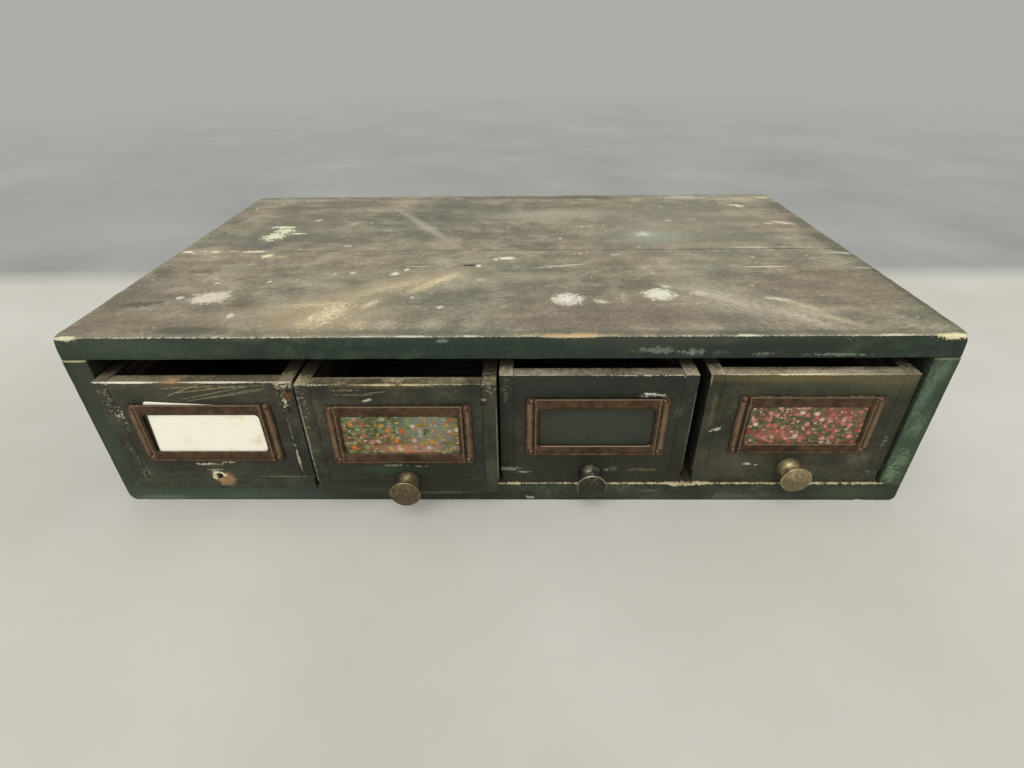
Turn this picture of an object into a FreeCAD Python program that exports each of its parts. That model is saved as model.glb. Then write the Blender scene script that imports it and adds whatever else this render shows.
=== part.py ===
import FreeCAD, Part

import math
import os

from FreeCAD import Vector

# Seed storage cabinet: a nailed plank case that stands on a table, with four loose plank drawers in a row.
# +X runs to the right, +Y to the back and +Z up. The origin is the middle of the case's underside.
# Each list of values goes through the drawers from left to right.

# Boards of the case
TOP_THICKNESS = 19.2
BOTTOM_THICKNESS = 19.5
SIDE_THICKNESS = 19.0
BACK_THICKNESS = 11.0
TOP_FRONT_BOARD_DEPTH = 184.5
TOP_SEAM = 0.6
TOP_ARRIS_RADIUS = 2.5
BOTTOM_LEFT_END_RADIUS = 7.0
BOTTOM_RIGHT_END_RADIUS = 5.0

# Boards of a drawer
DRAWER_WIDTHS = [150.5, 149.5, 150.5, 155.7]
DRAWER_HEIGHT = 105.7
DRAWER_LENGTH = 380.0
DRAWER_BOARD = 11.0
DRAWER_BOTTOM_BOARD = 11.7
DRAWER_BOTTOM_INSET = 1.0
DRAWER_ARRIS_RADIUS = 0.7

# How the drawers stand in the case
DRAWER_GAPS = [1.2, 2.8, 1.5, 8.5, 1.8]
DRAWERS_PULLED_OUT = [12.0, 16.0, 3.5, 2.5]
DRAWER_SETBACK = 5.0
DRAWER_STOP_GAP = 0.5
DRAWER_FLOOR_GAP = 0.3
DRAWER_HEADROOM = 14.6

# Label holder, pressed from one sheet
HOLDER_HEIGHT = 56.0
HOLDER_SHEET = 0.9
HOLDER_FLANGE = 7.3
HOLDER_FRAME_BAR = 3.7
HOLDER_CORNER_RADIUS = 3.5
HOLDER_BEAD_RADIUS = 0.8
WINDOW_WIDTH = 90.0
WINDOW_HEIGHT = 35.5
WINDOW_CORNER_RADIUS = 3.5
CARD_POCKET_DEPTH = 1.6
HOLDER_SHIFTS = [-0.95, -0.25, 0.75, 3.15]
HOLDER_LOW_SHARES = [0.297, 0.34, 0.35, 0.208]

# Cards: how much lower than its holder each is, the free width that it leaves, and how it sits in its pocket
CARD_THICKNESS = 0.6
CARD_SHORTNESS = {"drawer_1": 4.0, "drawer_2": 2.5, "drawer_4": 2.0}
CARD_FREE_WIDTHS = {"drawer_1": 7.6, "drawer_2": 3.0, "drawer_4": 2.0}
CARD_TILT_ANGLES = {"drawer_1": 3.0, "drawer_2": 0.0, "drawer_4": 0.0}
CARD_SHIFTS = {"drawer_1": 1.7, "drawer_2": -0.4, "drawer_4": 0.3}
CARD_REST_GAP = 0.2
CARD_BACK_GAP = 0.2

# Knob, its screw and the place of each on the drawer's front
KNOB_LENGTH = 20.0
KNOB_BASE_RADIUS = 9.6
KNOB_BASE_EDGE = 1.4
KNOB_BELL_LENGTH = 7.0
KNOB_WAIST_RADIUS = 4.0
KNOB_WAIST_LENGTH = 2.6
KNOB_HEAD_RADIUS = 12.2
KNOB_RIM = 1.8
KNOB_CROWN = 2.2
KNOB_SHIFTS = [-4.85, 0.75, -1.35, 0.45]
KNOB_RISES = [4.2, 4.0, 0.2, 6.9]
KNOB_PRESENT = [False, True, True, True]
SCREW_RADIUS = 1.3
SCREW_DEPTH_IN_WOOD = 9.5
SCREW_DEPTH_IN_KNOB = 7.0
WORN_HOLE_RADIUS = 1.8
WORN_HOLE_MOUTH_RADIUS = 3.2
WORN_HOLE_MOUTH_DEPTH = 1.4

# Nails and pins
NAIL_RADIUS = 1.3
NAIL_HEAD_RADIUS = 2.2
NAIL_HEAD_THICKNESS = 1.0
NAIL_SET = 0.4
NAIL_TIP = 3.0
CASE_NAIL_LENGTH = 45.0
TOP_BOARD_NAIL_COUNT = 2
SIDE_NAIL_COUNT = 4
BACK_NAIL_COUNT = 3
DRAWER_NAIL_RADIUS = 0.9
DRAWER_NAIL_HEAD_RADIUS = 1.6
DRAWER_NAIL_LENGTH = 30.0
DRAWER_BOTTOM_NAIL_COUNT = 3
PIN_RADIUS = 0.7
PIN_HEAD_RADIUS = 1.9
PIN_HEAD_HEIGHT = 1.0
PIN_LENGTH_IN_WOOD = 8.0
PIN_FROM_SIDE = 4.6
PIN_FROM_END = 3.5
FASTENER_CLEARANCE = 0.05
HOLE_END_GAP = 0.5

# Outer size of the case, worked out from what it holds
INNER_WIDTH = sum(DRAWER_WIDTHS) + sum(DRAWER_GAPS)
CASE_WIDTH = INNER_WIDTH + 2 * SIDE_THICKNESS
CASE_DEPTH = DRAWER_SETBACK + DRAWER_LENGTH + DRAWER_STOP_GAP + BACK_THICKNESS
INNER_HEIGHT = DRAWER_FLOOR_GAP + DRAWER_HEIGHT + DRAWER_HEADROOM
CASE_HEIGHT = BOTTOM_THICKNESS + INNER_HEIGHT + TOP_THICKNESS

# Planes of the case
RIGHT = CASE_WIDTH / 2
INNER_RIGHT = INNER_WIDTH / 2
FRONT = -CASE_DEPTH / 2
REAR = CASE_DEPTH / 2
BACK_INNER = REAR - BACK_THICKNESS
CEILING = BOTTOM_THICKNESS + INNER_HEIGHT
DRAWER_UNDERSIDE = BOTTOM_THICKNESS + DRAWER_FLOOR_GAP
DRAWER_SEAM = DRAWER_UNDERSIDE + DRAWER_BOTTOM_BOARD
DRAWER_TOP = DRAWER_UNDERSIDE + DRAWER_HEIGHT
HOLDER_WIDTH = WINDOW_WIDTH + 2 * (HOLDER_FRAME_BAR + HOLDER_FLANGE)
POCKET_WIDTH = WINDOW_WIDTH + 2 * (HOLDER_FRAME_BAR - HOLDER_SHEET)

SAME_PLACE = 1e-6
OUTWARDS = Vector(0, -1, 0)
INWARDS = Vector(0, 1, 0)
UPWARDS = Vector(0, 0, 1)


def save(name, shape):
    """Writes one sub-part in its place in the cabinet."""
    shape.exportStep("parts/" + name + ".step")


def box(low, high):
    """A box between its lowest and its highest corner."""
    size = Vector(*high) - Vector(*low)
    return Part.makeBox(size.x, size.y, size.z, Vector(*low))


def rod(radius, start, direction, length):
    """A round bar from a point, along a direction."""
    return Part.makeCylinder(radius, length, start, direction)


def spaced(start, end, count):
    """Places at equal steps along a length, half a step in from each end."""
    step = (end - start) / count
    return [start + step * (index + 0.5) for index in range(count)]


def lies_in(edge, axis, value):
    """Whether an edge lies wholly in the plane where one coordinate has this value."""
    bounds = edge.BoundBox
    low = (bounds.XMin, bounds.YMin, bounds.ZMin)[axis]
    high = (bounds.XMax, bounds.YMax, bounds.ZMax)[axis]
    return abs(low - value) < SAME_PLACE and abs(high - value) < SAME_PLACE


def rounded_box(low, high, radius):
    """A sawn board with all its arrises rubbed round."""
    board = box(low, high)
    return board.makeFillet(radius, board.Edges)


def nail(head, direction, length, radius, head_radius):
    """A nail driven along a direction, its head set a little below the face, and the hole that it needs."""
    top = head + direction * NAIL_SET
    neck = top + direction * NAIL_HEAD_THICKNESS
    shank_length = length - NAIL_SET - NAIL_HEAD_THICKNESS - NAIL_TIP
    shank = rod(radius, neck, direction, shank_length)
    tip = Part.makeCone(radius, 0, NAIL_TIP, neck + direction * shank_length, direction)
    solid = rod(head_radius, top, direction, NAIL_HEAD_THICKNESS).fuse([shank, tip]).removeSplitter()
    hole_radius = radius + FASTENER_CLEARANCE
    recess = rod(head_radius + FASTENER_CLEARANCE, head, direction, NAIL_SET + NAIL_HEAD_THICKNESS)
    hole = recess.fuse(rod(hole_radius, head, direction, length + FASTENER_CLEARANCE)).removeSplitter()
    return solid, hole


def case_boards():
    """The six boards of the case, before they are nailed."""
    seam = FRONT + TOP_FRONT_BOARD_DEPTH
    top_front = box((-RIGHT, FRONT, CEILING), (RIGHT, seam, CASE_HEIGHT))
    top_rear = box((-RIGHT, seam + TOP_SEAM, CEILING), (RIGHT, REAR, CASE_HEIGHT))
    arris = min(TOP_ARRIS_RADIUS, TOP_THICKNESS / 3)
    boards = {
        "top_front_board": rub_top_board(top_front, FRONT, seam, arris),
        "top_rear_board": rub_top_board(top_rear, REAR, seam + TOP_SEAM, arris),
        "left_side": box((-RIGHT, FRONT, BOTTOM_THICKNESS), (-INNER_RIGHT, REAR, CEILING)),
        "right_side": box((INNER_RIGHT, FRONT, BOTTOM_THICKNESS), (RIGHT, REAR, CEILING)),
        "bottom_board": bottom_board(),
        "back_panel": box((-INNER_RIGHT, BACK_INNER, BOTTOM_THICKNESS), (INNER_RIGHT, REAR, CEILING)),
    }
    return boards


def rub_top_board(board, outer_face, seam_face, radius):
    """Rounds the arrises of a top board that hands and stacked boxes have rubbed: not the one at the seam."""
    worn = []
    for edge in board.Edges:
        on_top = lies_in(edge, 2, CASE_HEIGHT) and not lies_in(edge, 1, seam_face)
        upright = lies_in(edge, 1, outer_face) and (lies_in(edge, 0, RIGHT) or lies_in(edge, 0, -RIGHT))
        if on_top or upright:
            worn.append(edge)
    return board.makeFillet(radius, worn)


def bottom_board():
    """The board that the case stands on, with the lower arris of each end rubbed round."""
    left = min(BOTTOM_LEFT_END_RADIUS, BOTTOM_THICKNESS / 2)
    right = min(BOTTOM_RIGHT_END_RADIUS, BOTTOM_THICKNESS / 2)
    points = [
        Vector(-RIGHT + left, FRONT, 0),
        Vector(RIGHT - right, FRONT, 0),
        Vector(RIGHT, FRONT, right),
        Vector(RIGHT, FRONT, BOTTOM_THICKNESS),
        Vector(-RIGHT, FRONT, BOTTOM_THICKNESS),
        Vector(-RIGHT, FRONT, left),
    ]
    slant = math.sqrt(0.5)
    right_middle = Vector(RIGHT - right + right * slant, FRONT, right - right * slant)
    left_middle = Vector(-RIGHT + left - left * slant, FRONT, left - left * slant)
    edges = [
        Part.makeLine(points[0], points[1]),
        Part.Arc(points[1], right_middle, points[2]).toShape(),
        Part.makeLine(points[2], points[3]),
        Part.makeLine(points[3], points[4]),
        Part.makeLine(points[4], points[5]),
        Part.Arc(points[5], left_middle, points[0]).toShape(),
    ]
    return Part.Face(Part.Wire(edges)).extrude(Vector(0, CASE_DEPTH, 0))


def case_nailing():
    """The case's nails with their holes: through the top and the bottom into the sides, and into the back."""
    driven = []
    seam = FRONT + TOP_FRONT_BOARD_DEPTH
    side_middle = (INNER_RIGHT + RIGHT) / 2
    top_places = spaced(FRONT, seam, TOP_BOARD_NAIL_COUNT)
    top_places += spaced(seam + TOP_SEAM, BACK_INNER, TOP_BOARD_NAIL_COUNT)
    for sign in (-1, 1):
        for y in top_places:
            driven.append((Vector(sign * side_middle, y, CASE_HEIGHT), Vector(0, 0, -1)))
        for y in spaced(FRONT, BACK_INNER, SIDE_NAIL_COUNT):
            driven.append((Vector(sign * side_middle, y, 0), UPWARDS))
        for z in spaced(BOTTOM_THICKNESS, CEILING, BACK_NAIL_COUNT):
            driven.append((Vector(sign * RIGHT, REAR - BACK_THICKNESS / 2, z), Vector(-sign, 0, 0)))
    return [nail(*place, CASE_NAIL_LENGTH, NAIL_RADIUS, NAIL_HEAD_RADIUS) for place in driven]


def make_case():
    """Nails the case together and saves its boards and nails."""
    nails = case_nailing()
    holes = [hole for _, hole in nails]
    for name, board in case_boards().items():
        save(name, board.cut(holes))
    save("case_nails", Part.makeCompound([solid for solid, _ in nails]))


def drawer_left(number):
    """The left face of a drawer, counted through its neighbours from the case's left side."""
    return -INNER_RIGHT + sum(DRAWER_GAPS[:number]) + sum(DRAWER_WIDTHS[:number - 1])


def drawer_boards(left, right, front):
    """The five boards of a drawer: long sides with the front and back between them, and the bottom below."""
    back = front + DRAWER_LENGTH
    inner_left = left + DRAWER_BOARD
    inner_right = right - DRAWER_BOARD
    edge = min(DRAWER_ARRIS_RADIUS, DRAWER_BOARD / 4)
    bottom_left = left + DRAWER_BOTTOM_INSET
    bottom_right = right - DRAWER_BOTTOM_INSET
    corners = {
        "front": ((inner_left, front, DRAWER_SEAM), (inner_right, front + DRAWER_BOARD, DRAWER_TOP)),
        "left_side": ((left, front, DRAWER_SEAM), (inner_left, back, DRAWER_TOP)),
        "right_side": ((inner_right, front, DRAWER_SEAM), (right, back, DRAWER_TOP)),
        "back": ((inner_left, back - DRAWER_BOARD, DRAWER_SEAM), (inner_right, back, DRAWER_TOP)),
        "bottom": ((bottom_left, front, DRAWER_UNDERSIDE), (bottom_right, back, DRAWER_SEAM)),
    }
    return {name: rounded_box(low, high, edge) for name, (low, high) in corners.items()}


def drawer_nailing(left, right, front, holder_height):
    """A drawer's nails with their holes: in through the sides' ends between the levels of the pins, and up
    through the bottom."""
    back = front + DRAWER_LENGTH
    driven = []
    ends = [front + DRAWER_BOARD / 2, back - DRAWER_BOARD / 2]
    low_pin = holder_height - HOLDER_HEIGHT / 2 + PIN_FROM_END
    high_pin = holder_height + HOLDER_HEIGHT / 2 - PIN_FROM_END
    levels = [(DRAWER_SEAM + low_pin) / 2, (low_pin + high_pin) / 2, (high_pin + DRAWER_TOP) / 2]
    for y in ends:
        for z in levels:
            driven.append((Vector(left, y, z), Vector(1, 0, 0)))
            driven.append((Vector(right, y, z), Vector(-1, 0, 0)))
    for y in spaced(front, back, DRAWER_BOTTOM_NAIL_COUNT):
        for x in (left + DRAWER_BOARD / 2, right - DRAWER_BOARD / 2):
            driven.append((Vector(x, y, DRAWER_UNDERSIDE), UPWARDS))
    wire = (DRAWER_NAIL_LENGTH, DRAWER_NAIL_RADIUS, DRAWER_NAIL_HEAD_RADIUS)
    return [nail(*place, *wire) for place in driven]


def rounded_plate(low, high, radius):
    """A plate that stands upright, with its four corners rounded as seen from the front."""
    plate = box(low, high)
    thickness = high[1] - low[1]
    corners = [edge for edge in plate.Edges if abs(edge.Length - thickness) < SAME_PLACE]
    return plate.makeFillet(radius, corners)


def label_holder(center):
    """A pressed sheet: flanges on the wood and a raised frame round the window, open above for the card."""
    half_width = HOLDER_WIDTH / 2
    half_height = HOLDER_HEIGHT / 2
    half_frame = half_width - HOLDER_FLANGE
    raised = CARD_POCKET_DEPTH + HOLDER_SHEET
    corner_radius = min(HOLDER_CORNER_RADIUS, HOLDER_FLANGE / 2)
    plate_corners = ((-half_width, -HOLDER_SHEET, -half_height), (half_width, 0, half_height))
    plate = rounded_plate(*plate_corners, corner_radius)
    frame = box((-half_frame, -raised, -half_height), (half_frame, 0, half_height))
    pocket = box(
        (-POCKET_WIDTH / 2, -CARD_POCKET_DEPTH, -half_height + HOLDER_SHEET),
        (POCKET_WIDTH / 2, 0, half_height),
    )
    window_radius = min(WINDOW_CORNER_RADIUS, WINDOW_HEIGHT / 3)
    window_low = (-WINDOW_WIDTH / 2, -raised, -WINDOW_HEIGHT / 2)
    window = rounded_plate(window_low, (WINDOW_WIDTH / 2, 0, WINDOW_HEIGHT / 2), window_radius)
    bead_place = half_frame - HOLDER_BEAD_RADIUS
    left_bead = rod(HOLDER_BEAD_RADIUS, Vector(-bead_place, -raised, -half_height), UPWARDS, HOLDER_HEIGHT)
    right_bead = rod(HOLDER_BEAD_RADIUS, Vector(bead_place, -raised, -half_height), UPWARDS, HOLDER_HEIGHT)
    lip_start = Vector(-bead_place, -raised, half_height - HOLDER_BEAD_RADIUS)
    lip = rod(HOLDER_BEAD_RADIUS, lip_start, Vector(1, 0, 0), 2 * bead_place)
    holder = plate.fuse([frame, left_bead, right_bead, lip]).cut([pocket, window]).removeSplitter()
    holder.translate(center)
    return holder


def pin_places(center):
    """Where the four pins go through the flanges, on the wood's face."""
    across = HOLDER_WIDTH / 2 - PIN_FROM_SIDE
    up = HOLDER_HEIGHT / 2 - PIN_FROM_END
    return [center + Vector(sx * across, 0, sz * up) for sx in (-1, 1) for sz in (-1, 1)]


def dome(radius, height, seat):
    """A round cap that bulges forwards from a flat seat."""
    ball_radius = (radius ** 2 + height ** 2) / (2 * height)
    ball = Part.makeSphere(ball_radius, seat + INWARDS * (ball_radius - height))
    return ball.common(rod(radius + height, seat, OUTWARDS, 2 * height))


def label_pin(place):
    """A pin with a domed head that presses a flange on the wood, and the hole that it needs."""
    seat = place + OUTWARDS * HOLDER_SHEET
    head = dome(PIN_HEAD_RADIUS, PIN_HEAD_HEIGHT, seat)
    pin = head.fuse(rod(PIN_RADIUS, seat, INWARDS, HOLDER_SHEET + PIN_LENGTH_IN_WOOD))
    hole_depth = HOLDER_SHEET + PIN_LENGTH_IN_WOOD + HOLE_END_GAP
    return pin, rod(PIN_RADIUS + FASTENER_CLEARANCE, seat, INWARDS, hole_depth)


def card(drawer, center):
    """A card that stands in the pocket on its lowest corner, with room to slide up."""
    width = POCKET_WIDTH - CARD_FREE_WIDTHS[drawer]
    height = HOLDER_HEIGHT - CARD_SHORTNESS[drawer]
    sheet = box((-width / 2, -CARD_THICKNESS, -height / 2), (width / 2, 0, height / 2))
    sheet.rotate(Vector(0, 0, 0), INWARDS, CARD_TILT_ANGLES[drawer])
    floor = center.z - HOLDER_HEIGHT / 2 + HOLDER_SHEET + CARD_REST_GAP
    lift = floor - sheet.BoundBox.ZMin
    sheet.translate(Vector(center.x + CARD_SHIFTS[drawer], center.y - CARD_BACK_GAP, lift))
    return sheet


def knob(place):
    """A turned knob: a bell-shaped foot, a narrow waist and a disc head with a low crown."""
    waist_start = KNOB_BASE_EDGE + KNOB_BELL_LENGTH
    flare_start = waist_start + KNOB_WAIST_LENGTH
    rim_start = KNOB_LENGTH - KNOB_CROWN - KNOB_RIM
    rim_end = KNOB_LENGTH - KNOB_CROWN
    bell_radius = (KNOB_BASE_RADIUS + KNOB_WAIST_RADIUS) / 2 + (KNOB_BASE_RADIUS - KNOB_WAIST_RADIUS) / 6
    bell_height = KNOB_BASE_EDGE + KNOB_BELL_LENGTH / 2 + KNOB_BELL_LENGTH / 8
    flare_radius = (KNOB_WAIST_RADIUS + KNOB_HEAD_RADIUS) / 2
    flare_height = (flare_start + rim_start) / 2 + (rim_start - flare_start) / 5
    foot_center = Vector(0, 0, 0)
    foot = Vector(KNOB_BASE_RADIUS, 0, 0)
    foot_edge = Vector(KNOB_BASE_RADIUS, -KNOB_BASE_EDGE, 0)
    bell_end = Vector(KNOB_WAIST_RADIUS, -waist_start, 0)
    waist_end = Vector(KNOB_WAIST_RADIUS, -flare_start, 0)
    rim_back = Vector(KNOB_HEAD_RADIUS, -rim_start, 0)
    rim_front = Vector(KNOB_HEAD_RADIUS, -rim_end, 0)
    rim_center = Vector(0, -rim_end, 0)
    outline = [
        Part.makeLine(foot_center, foot),
        Part.makeLine(foot, foot_edge),
        Part.Arc(foot_edge, Vector(bell_radius, -bell_height, 0), bell_end).toShape(),
        Part.makeLine(bell_end, waist_end),
        Part.Arc(waist_end, Vector(flare_radius, -flare_height, 0), rim_back).toShape(),
        Part.makeLine(rim_back, rim_front),
        Part.makeLine(rim_front, rim_center),
        Part.makeLine(rim_center, foot_center),
    ]
    turned = Part.Face(Part.Wire(outline)).revolve(foot_center, INWARDS, 360)
    turned = turned.fuse(dome(KNOB_HEAD_RADIUS, KNOB_CROWN, rim_center)).removeSplitter()
    turned.translate(place)
    bore_depth = SCREW_DEPTH_IN_KNOB + HOLE_END_GAP
    return turned.cut(rod(SCREW_RADIUS + FASTENER_CLEARANCE, place, OUTWARDS, bore_depth))


def knob_screw(place):
    """The screw that is fast in the knob and driven into the front, without its thread."""
    start = place + OUTWARDS * SCREW_DEPTH_IN_KNOB
    plain_length = SCREW_DEPTH_IN_KNOB + SCREW_DEPTH_IN_WOOD - NAIL_TIP
    tip = Part.makeCone(SCREW_RADIUS, 0, NAIL_TIP, start + INWARDS * plain_length, INWARDS)
    return rod(SCREW_RADIUS, start, INWARDS, plain_length).fuse(tip).removeSplitter()


def screw_hole(place):
    """The blind hole in the front where the knob's screw goes."""
    return rod(SCREW_RADIUS + FASTENER_CLEARANCE, place, INWARDS, SCREW_DEPTH_IN_WOOD + HOLE_END_GAP)


def worn_hole(place):
    """The open hole of the missing knob, pulled wide, with a torn mouth."""
    bore = rod(WORN_HOLE_RADIUS, place, INWARDS, SCREW_DEPTH_IN_WOOD + HOLE_END_GAP)
    mouth = Part.makeCone(WORN_HOLE_MOUTH_RADIUS, WORN_HOLE_RADIUS, WORN_HOLE_MOUTH_DEPTH, place, INWARDS)
    return bore.fuse(mouth)


def make_drawer(number):
    """Makes and saves one drawer with all that is on it."""
    index = number - 1
    name = "drawer_" + str(number)
    left = drawer_left(number)
    right = left + DRAWER_WIDTHS[index]
    middle = (left + right) / 2
    front = FRONT + DRAWER_SETBACK - DRAWERS_PULLED_OUT[index]
    knob_height = DRAWER_UNDERSIDE + KNOB_RISES[index] + KNOB_BASE_RADIUS
    knob_place = Vector(middle + KNOB_SHIFTS[index], front, knob_height)
    free_height = DRAWER_TOP - knob_height - KNOB_BASE_RADIUS - HOLDER_HEIGHT
    holder_low = knob_height + KNOB_BASE_RADIUS + HOLDER_LOW_SHARES[index] * free_height
    holder_center = Vector(middle + HOLDER_SHIFTS[index], front, holder_low + HOLDER_HEIGHT / 2)

    nails = drawer_nailing(left, right, front, holder_center.z)
    pins = [label_pin(place) for place in pin_places(holder_center)]
    holes = [hole for _, hole in nails + pins]
    if KNOB_PRESENT[index]:
        holes.append(screw_hole(knob_place))
        save(name + "_knob", knob(knob_place))
        save(name + "_knob_screw", knob_screw(knob_place))
    else:
        holes.append(worn_hole(knob_place))
    for board_name, board in drawer_boards(left, right, front).items():
        save(name + "_" + board_name, board.cut(holes))
    save(name + "_nails", Part.makeCompound([solid for solid, _ in nails]))
    save(name + "_label_holder", label_holder(holder_center).cut([hole for _, hole in pins]))
    save(name + "_label_pins", Part.makeCompound([solid for solid, _ in pins]))
    if name in CARD_SHORTNESS:
        save(name + "_card", card(name, holder_center))


os.makedirs("parts", exist_ok=True)
make_case()
for drawer_number in range(1, len(DRAWER_WIDTHS) + 1):
    make_drawer(drawer_number)
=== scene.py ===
import itertools
import math

import bpy
import numpy as np
from mathutils import Matrix, Vector


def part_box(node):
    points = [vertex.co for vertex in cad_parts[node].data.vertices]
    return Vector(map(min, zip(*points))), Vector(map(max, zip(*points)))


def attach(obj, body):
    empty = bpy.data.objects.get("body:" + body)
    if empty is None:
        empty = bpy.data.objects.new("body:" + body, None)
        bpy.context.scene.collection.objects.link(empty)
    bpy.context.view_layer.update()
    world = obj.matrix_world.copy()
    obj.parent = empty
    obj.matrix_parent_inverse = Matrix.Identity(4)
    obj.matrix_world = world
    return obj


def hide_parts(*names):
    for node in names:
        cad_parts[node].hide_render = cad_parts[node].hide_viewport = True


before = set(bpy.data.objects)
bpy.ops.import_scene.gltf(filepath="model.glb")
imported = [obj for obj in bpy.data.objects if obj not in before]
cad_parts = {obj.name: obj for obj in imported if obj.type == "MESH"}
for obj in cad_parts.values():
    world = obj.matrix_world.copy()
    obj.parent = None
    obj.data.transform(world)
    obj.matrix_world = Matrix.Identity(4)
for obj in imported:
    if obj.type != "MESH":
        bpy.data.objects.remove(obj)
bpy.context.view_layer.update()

# The bottom board: one softwood plank that the whole cabinet stands on, nailed to the sides from below.
# Its front edge is brushed with dark green oil paint, and the arris that the drawers ride over is worn bare.
MM = 0.001


def linear(colour):
    """The linear colour of an sRGB hex value."""
    channels = [int(colour[place:place + 2], 16) / 255 for place in (1, 3, 5)]
    return [c / 12.92 if c <= 0.04045 else ((c + 0.055) / 1.055) ** 2.4 for c in channels] + [1.0]


def feed(tree, node, links):
    """Links sockets to the inputs of a node. A node given as a socket stands for its first output."""
    for name, source in links.items():
        socket = source.outputs[0] if isinstance(source, bpy.types.Node) else source
        tree.links.new(socket, node.inputs[name])


def add(tree, kind, settings=(), links=()):
    """Adds a shader node, with settings by the name of a property or socket, and what feeds it."""
    node = tree.nodes.new("ShaderNode" + kind)
    for name, value in dict(settings).items():
        if name == "stops":
            stops = node.color_ramp.elements
            while len(stops) < len(value):
                stops.new(1.0)
            for stop, (position, colour) in zip(stops, value):
                stop.position = position
                stop.color = linear(colour)
        elif isinstance(name, str) and name[0].islower():
            setattr(node, name, value)
        else:
            node.inputs[name].default_value = value
    feed(tree, node, dict(links))
    return node


def new_material(name):
    """A material to build on, with its tree, its shader and its place in the object's space."""
    material = bpy.data.materials.new(name)
    material.use_nodes = True
    tree = material.node_tree
    return material, tree, tree.nodes["Principled BSDF"], add(tree, "TexCoord").outputs["Object"]


def new_object(name, points, faces, material, told):
    """A smooth object from points in millimetres, with numbers at its points that its material reads."""
    mesh = bpy.data.meshes.new(name)
    mesh.from_pydata((points * MM).tolist(), [], faces.tolist())
    for attribute, values in told.items():
        data = mesh.attributes.new(attribute, "FLOAT", "POINT").data
        data.foreach_set("value", np.array(values, np.float32))
    mesh.shade_smooth()
    mesh.materials.append(material)
    piece = bpy.data.objects.new(name, mesh)
    bpy.context.scene.collection.objects.link(piece)
    return piece


def spots(points, size, seed):
    """Smooth random heights from 0 to 1, in spots of a size in millimetres, which may differ by direction."""
    cells = points / np.broadcast_to(size, 3) + seed * 17.31
    base = np.floor(cells)
    part = cells - base
    part = part * part * (3 - 2 * part)
    total = np.zeros(len(points))
    for corner in itertools.product((0, 1), repeat=3):
        value = np.sin((base + corner) @ (12.9898, 78.233, 37.719)) * 43758.5453
        total += (value - np.floor(value)) * np.prod(np.where(corner, part, 1 - part), axis=1)
    return total


def mesh_lines(low, high, cell, fine):
    """Where a board's mesh is cut along one side: close together at its arrises and at each fine place."""
    near = np.array([0, 0.3, 0.7, 1.3, 2.2, 3.5])
    reach = min(5.0, (high - low) / 2)
    count = max(1, round((high - low - 2 * reach) / cell))
    places = [low + near, high - near, np.linspace(low + reach, high - reach, count + 1)]
    for middle, radius in fine:
        if low - radius < middle < high + radius:
            places.append(middle + radius * np.linspace(-1.2, 1.2, 9))
    places = np.unique(np.clip(np.concatenate(places), low, high))
    kept = [places[0]]
    for place in places[1:-1]:
        if place - kept[-1] > 0.2 and places[-1] - place > 0.2:
            kept.append(place)
    return np.array(kept + [places[-1]])


def skin(lines):
    """The points and the outward quads of a box whose sides are cut at these lines."""
    counts = [len(line) for line in lines]
    grid = np.stack(np.meshgrid(*lines, indexing="ij"), -1).reshape(-1, 3)
    index = np.indices(counts).reshape(3, -1).T
    outer = ((index == 0) | (index == np.array(counts) - 1)).any(axis=1)
    number = np.full(len(grid), -1)
    number[outer] = np.arange(outer.sum())
    number = number.reshape(counts)
    quads = []
    for axis in range(3):
        for side in (0, -1):
            sheet = number.take(side, axis=axis)
            corners = [sheet[:-1, :-1], sheet[1:, :-1], sheet[1:, 1:], sheet[:-1, 1:]]
            if (side == 0) != (axis == 1):
                corners.reverse()
            quads.append(np.stack([corner.ravel() for corner in corners], axis=1))
    return grid[outer], np.concatenate(quads)


def near_line(points, start, end, reach):
    """How near points are to a line, from 1 on it to 0 at a reach in millimetres."""
    start, end = np.array(start, float), np.array(end, float)
    along = np.clip(((points - start) @ (end - start)) / max((end - start) @ (end - start), 1e-9), 0, 1)
    distance = np.linalg.norm(points - start - along[:, None] * (end - start), axis=1)
    share = np.clip(1 - distance / reach, 0, 1)
    return share * share * (3 - 2 * share)


# A nail's dent and the open screw hole, as radius and depth in mm, and the worn mouth round that hole
NAIL_DENT, NAIL_DEPTH = 2.6, 0.46
SCREW_HOLE, HOLE_DEPTH = 1.8, 9.5
HOLE_MOUTH = 3.6


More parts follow.
